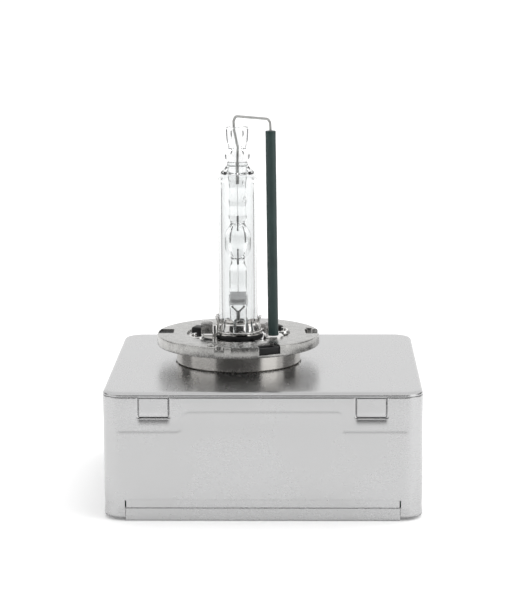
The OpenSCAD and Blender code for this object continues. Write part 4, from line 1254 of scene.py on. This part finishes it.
def make_arc_tube():
    z0, z1 = aw0[2], aw1[2]
    vr = aw1[0] - 0.03
    outer = [(0, z0), (1.7, z0), (1.95, z0 + 0.2), (1.95, 5.2)]
    outer += catmull([(1.95, 5.6), (2.0, 6.3), (2.14, 7.0), (2.16, 9.3), (2.05, 10.2), (1.98, 12.0), (2.0, 14.0), (1.95, 15.6), (1.62, 16.8), (1.52, 17.5), (1.78, 18.1), (2.4, 18.85), (2.85, 19.7), (3.0, 20.9), (vr, 22.0), (3.0, 23.0), (2.86, 23.9),
                      (2.42, 24.8), (1.85, 25.6), (1.64, 26.1), (1.74, 26.5), (1.98, 27.0), (2.1, 27.6), (2.02, 28.4), (1.92, 30.0), (2.05, 31.0), (2.0, 33.0), (1.92, 34.2), (2.05, 35.4), (2.17, 36.4), (2.18, 37.6)], 5)
    outer += catmull([(2.19, 38.2), (2.19, 39.6), (2.3, 40.15), (2.72, 40.7), (2.93, 41.5), (2.78, 42.35), (2.2, 43.15), (2.08, 43.6), (2.2, 44.2), (2.45, 45.0), (2.58, 46.5), (2.62, z1 - 0.3), (2.55, z1 - 0.06), (2.4, z1)], 4)
    outer += [(1.5, z1)] + catmull([(1.36, z1 - 0.06), (1.29, z1 - 0.3), (1.27, 46.4), (1.2, 45.1), (1.0, 44.1), (0.85, 43.5), (1.05, 42.6), (1.5, 41.6), (1.72, 40.8), (1.66, 40.42)], 4)
    outer += [(1.5, 40.36), (0, 40.36)]
    cav = [(0, 17.85)] + catmull([(0.5, 18.0), (1.0, 18.75), (1.4, 19.8), (1.6, 21.0), (1.64, 22.0), (1.6, 23.0), (1.4, 24.2), (0.98, 25.2), (0.45, 25.85)], 5) + [(0, 26.0)]
    V, F = lathe_data([(outer, False), (cav, True)], 144)
    # sealed slivers where the quartz didn't fuse along the foils
    for bx, bz, rx, rz in ((1.15, 31.6, 0.22, 0.75), (-1.3, 35.6, 0.15, 0.5), (0.95, 35.3, 0.2, 0.55)):
        prof = [(max(0.0, rx * math.sin(math.radians(15 * k))), bz - rz * math.cos(math.radians(15 * k))) for k in range(13)]
        prof[0], prof[-1] = (0, bz - rz), (0, bz + rz)
        v, f = lathe_data([(prof, True)], 24, (bx, 0, 0))
        o = len(V)
        V += v
        F += [tuple(i + o for i in q) for q in f]
    return place(new_object("discharge_vessel", V, F, "quartz", 60), "arc_tube")


def make_internals():
    # electrodes with rounded tips
    for node, s in (("upper_electrode", 1), ("lower_electrode", -1)):
        e0, e1 = nbox(node)
        tip, root = (e0[2], e1[2]) if s > 0 else (e1[2], e0[2])
        prof = [(0, tip)] + [(0.235 * math.sin(math.radians(a)), tip + s * 0.24 * (1 - math.cos(math.radians(a)))) for a in (20, 40, 60, 80, 100, 120, 135)] + [(0.165, tip + s * 0.55), (0.165, root - s * 0.05), (0.1, root), (0, root)]
        place(lathe("tungsten_" + node[:5], [(prof, False)], "tungsten", 28, angle=40), node)
    # sealing foils: lens-shaped strips standing edge-on to the front, thin at their long edges
    for node in ("upper_foil", "lower_foil"):
        f0, f1 = nbox(node)
        w, th = 0.85, 0.06
        za, zb = (f0[2], f1[2]) if node == "upper_foil" else (f1[2] - 7.3, f1[2])
        V, F = [], []
        rows = subdivide([za, zb], 0.3)
        cols = [-1, -0.8, -0.4, 0, 0.4, 0.8, 1]
        for side in (-1, 1):
            for z in rows:
                q = min(z - za, zb - z)
                k = min(1.0, 0.75 + q * 0.5)
                for c in cols:
                    V.append((side * th * max(0.12, (1 - c * c)) + 0.015 * math.sin(z * 7), w * c * k, z))
        nr, nc_ = len(rows), len(cols)
        for side in (0, 1):
            o = side * nr * nc_
            for i in range(nr - 1):
                for j in range(nc_ - 1):
                    q = (o + i * nc_ + j, o + i * nc_ + j + 1, o + (i + 1) * nc_ + j + 1, o + (i + 1) * nc_ + j)
                    F.append(q if side == 0 else q[::-1])
        o = nr * nc_
        for i in range(nr - 1):
            F.append((i * nc_, (i + 1) * nc_, o + (i + 1) * nc_, o + i * nc_))
            j = nc_ - 1
            F.append((i * nc_ + j, o + i * nc_ + j, o + (i + 1) * nc_ + j, (i + 1) * nc_ + j))
        for j in range(nc_ - 1):
            F.append((j, o + j, o + j + 1, j + 1))
            k = (nr - 1) * nc_
            F.append((k + j, k + j + 1, o + k + j + 1, o + k + j))
        parts = [(V, F)]
        if node == "lower_foil":
            # folded end of the foil, a little crumpled
            bz0, bz1 = f0[2], f0[2] + 3.08
            rws = subdivide([bz0, bz1], 0.28)
            ring_ = fillet([(-1.45, -0.3, 0.2), (1.45, -0.3, 0.2), (1.45, 0.3, 0.2), (-1.45, 0.3, 0.2)], 3)
            m_ = len(ring_)
            v2, f2 = [], []
            for i, z in enumerate(rws):
                e_ = 1 - 0.12 * (i in (0, len(rws) - 1)) + 0.03 * math.sin(z * 5.1)
                for x, y in ring_:
                    v2.append((x * e_, y * e_ + 0.05 * math.sin(x * 2.6 + z * 1.3), z))
            for i in range(len(rws) - 1):
                for j in range(m_):
                    j2 = (j + 1) % m_
                    f2.append((i * m_ + j, i * m_ + j2, (i + 1) * m_ + j2, (i + 1) * m_ + j))
            f2.append(tuple(range(m_))[::-1])
            f2.append(tuple(range((len(rws) - 1) * m_, len(rws) * m_)))
            parts.append((v2, f2))
        place(join_parts("foil_" + node[:5], parts, "moly", 60), node)
    u0, u1 = nbox("upper_lead")
    place(tube_along("lead_upper", [(0, 0, u0[2]), (0, 0, (u0[2] + u1[2]) / 2), (0, 0, u1[2])], lambda f: 0.27 + 0.03 * math.sin(f * 40) * 0, "wire", 20), "upper_lead")
    l0, l1 = nbox("lower_lead")
    zv = ARC - 16.4
    main = tube_along("lead_lower", [(0, 0, l0[2]), (0, 0, 0.0), (0, 0, zv - 0.4), (0, 0, zv + 0.1)], 0.29, "wire", 20)
    for s in (-1, 1):
        leg = tube_along("strand", [(0, 0, zv - 1.2), (0.02 * s, 0, zv - 0.3), (1.02 * s, 0, l1[2] - 0.15)], 0.19, "wire", 16, bend=[0, 0.8, 0])
        bm = bmesh.new(); bm.from_mesh(main.data); bm.from_mesh(leg.data)
        bm.to_mesh(main.data); bm.free()
        drop(leg)
    finish_mesh(main, 50)
    place(main, "lower_lead")


def make_return():
    r0, r1 = nbox("return_wire")
    wz = r1[2] - 0.312
    ty = TUBE_Y
    pts = [(0, 0, 40.5), (0.15, 0, 43.6), (-0.72, -0.1, 47.6), (-0.8, -0.2, wz - 1.2), (-0.35, -0.5, wz), (7.15, -5.2, wz - 0.2), (7.72, ty, wz - 0.9),
           (TUBE_TOP, ty, 47.9), (TUBE_FOOT, ty, r0[2] + 0.1)]
    place(tube_along("conductor", pts, 0.29, "wire", 24, bend=[0, 3.0, 2.0, 0.9, 0.9, 0.9, 0.9, 2.0, 0]), "return_wire")
    # ceramic tube: hollow, ends cut square with a small fire-polished radius
    top = Vector((TUBE_TOP, ty, 47.9)); foot = Vector((TUBE_FOOT, ty, -6.0))
    L = (top - foot).length
    ro, ri = 1.2, 0.48
    prof = [(ri, 0.1), (ri + 0.1, 0.0), (ro - 0.12, 0.0), (ro - 0.03, 0.04), (ro, 0.15)]
    k = 60
    rnd = random.Random(3)
    for i in range(1, k):
        z = 0.15 + (L - 0.4) * i / k
        prof.append((ro - 0.012 * (1 + math.sin(i * 0.9) * 0.6 + rnd.uniform(-0.3, 0.3)), z))
    prof += [(ro, L - 0.2), (ro - 0.04, L - 0.06), (ro - 0.14, L), (ri + 0.14, L), (ri + 0.03, L - 0.05), (ri, L - 0.15)]
    V, F = lathe_data([(prof, False)], 64)
    q = Vector((0, 0, 1)).rotation_difference((top - foot).normalized())
    V = [tuple(foot + q @ Vector(v)) for v in V]
    place(new_object("insulator_tube", V, F, "green", 40), "ceramic_tube")


def make_contacts():
    c0, c1 = nbox("lamp_contact")
    prof = fillet([(0, c0[2]), (0.8, c0[2], 0.15), (0.8, c1[2], 0.2), (0.33, c1[2], 0.1), (0.33, c1[2] - 0.7), (0, c1[2] - 0.7)], 3)
    place(lathe("lamp_terminal", [(prof, False)], "brass", 48), "lamp_contact")
    c0, c1 = nbox("return_contact")
    mx, my = (c0[0] + c1[0]) / 2, (c0[1] + c1[1]) / 2
    z0, z1 = c0[2], c1[2]
    prof = fillet([(0, z0), (1.5, z0, 0.12), (1.5, z0 + 0.62, 0.12), (0.5, z0 + 0.62, 0.1), (0.5, z1, 0.12), (0, z1)], 3)
    place(lathe("return_terminal", [(prof, False)], "brass", 48, (mx, my, 0)), "return_contact")


make_cover()
make_can()
make_bottom()
make_connector()
make_neck()
make_ring()
make_tongues()
make_clamp()
make_socket()
make_jacket()
make_arc_tube()
make_internals()
make_return()
make_contacts()

# carried-over CAD nodes inside the box: edges broken by a fine bevel
for n, o in NODES.items():
    if n in ("circuit_board", "transformer_core", "inductor_core", "bridge_transistors", "control_chip", "igniter_case", "ignition_capacitor",
             "thermal_pad", "board_link", "spark_gap", "spark_gap_caps", "igniter_bobbin", "cover_gasket", "igniter_core"):
        w = {"igniter_case": 0.5, "ignition_capacitor": 0.9, "cover_gasket": 0.3, "thermal_pad": 0.3, "transformer_core": 0.35}.get(n, 0.1)
        bevel(o, w, 3, 40)

# ------------------------------------------------------------ floor, lights


def stage_floor():
    V = [(-3, -3, 0), (3, -3, 0), (3, 3, 0), (-3, 3, 0)]
    me = bpy.data.meshes.new("floor")
    me.from_pydata(V, [], [(0, 1, 2, 3)])
    ob = bpy.data.objects.new("floor", me)
    scene.collection.objects.link(ob)
    ob.location.z = BOX0[0][2]
    m = NT("floor_paper")
    v = m.noise(m.mapping(), 3, 2)
    m.link(m.ramp(v, [(0.3, (0.90, 0.90, 0.90)), (0.7, (0.92, 0.92, 0.92))]), m.p.inputs["Base Color"])
    m.set(Roughness=0.9, **{"Specular IOR Level": 0.0, "Emission Color": (1, 1, 1, 1), "Emission Strength": 0.13})
    me.materials.append(m.mat)
    return ob


def area(name, loc, target, size, power, size_y=None, spread=180, color=(1, 1, 1)):
    l = bpy.data.lights.new(name, "AREA")
    l.shape = "RECTANGLE"
    l.size, l.size_y = size, size_y or size
    l.energy = power
    l.color = color
    l.spread = math.radians(spread)
    ob = bpy.data.objects.new(name, l)
    scene.collection.objects.link(ob)
    ob.location = loc
    d = Vector(target) - Vector(loc)
    ob.rotation_euler = d.to_track_quat("-Z", "Y").to_euler()
    return ob


def card(name, corners, tone):
    """A dark studio flag: seen in reflections only, never by the camera."""
    me = bpy.data.meshes.new(name)
    me.from_pydata(corners, [], [(0, 1, 2, 3)])
    ob = bpy.data.objects.new(name, me)
    scene.collection.objects.link(ob)
    m = NT(name + "_cloth")
    v = m.noise(m.mapping(), 8, 2)
    m.link(m.ramp(v, [(0.3, (tone, tone, tone)), (0.7, (tone * 1.15, tone * 1.15, tone * 1.15))]), m.p.inputs["Base Color"])
    m.set(Roughness=1.0, **{"Specular IOR Level": 0.0})
    me.materials.append(m.mat)
    ob.visible_camera = False
    return ob


def lights():
    w = bpy.data.worlds.new("studio")
    scene.world = w
    w.use_nodes = True
    bg = w.node_tree.nodes["Background"]
    bg.inputs[0].default_value = (1, 1, 1, 1)
    bg.inputs[1].default_value = 1.06
    top = area("overhead", (0.34, 0.05, 1.0), (0, 0, 0), 1.1, 5.2)
    top.visible_glossy = False
    area("side_right", (0.85, -0.45, 0.35), (0, 0, 0.02), 0.55, 0.8)
    z = BOX0[0][2] + 0.002
    card("flag_front", [(-0.66, -0.75, z), (0.70, -0.75, z), (0.70, -0.75, 0.45), (-0.66, -0.75, 0.45)], 0.03)
    card("flag_left", [(-0.75, 0.08, z), (-0.75, 0.62, z), (-0.75, 0.62, 0.26), (-0.75, 0.08, 0.26)], 0.05)
    card("flag_right", [(0.75, 0.03, z), (0.75, 0.7, z), (0.75, 0.7, 0.3), (0.75, 0.03, 0.3)], 0.07)
    card("grey_left", [(-0.70, -0.72, z), (-0.95, -0.05, z), (-0.95, -0.05, 0.7), (-0.70, -0.72, 0.7)], 0.75)


stage_floor()
lights()
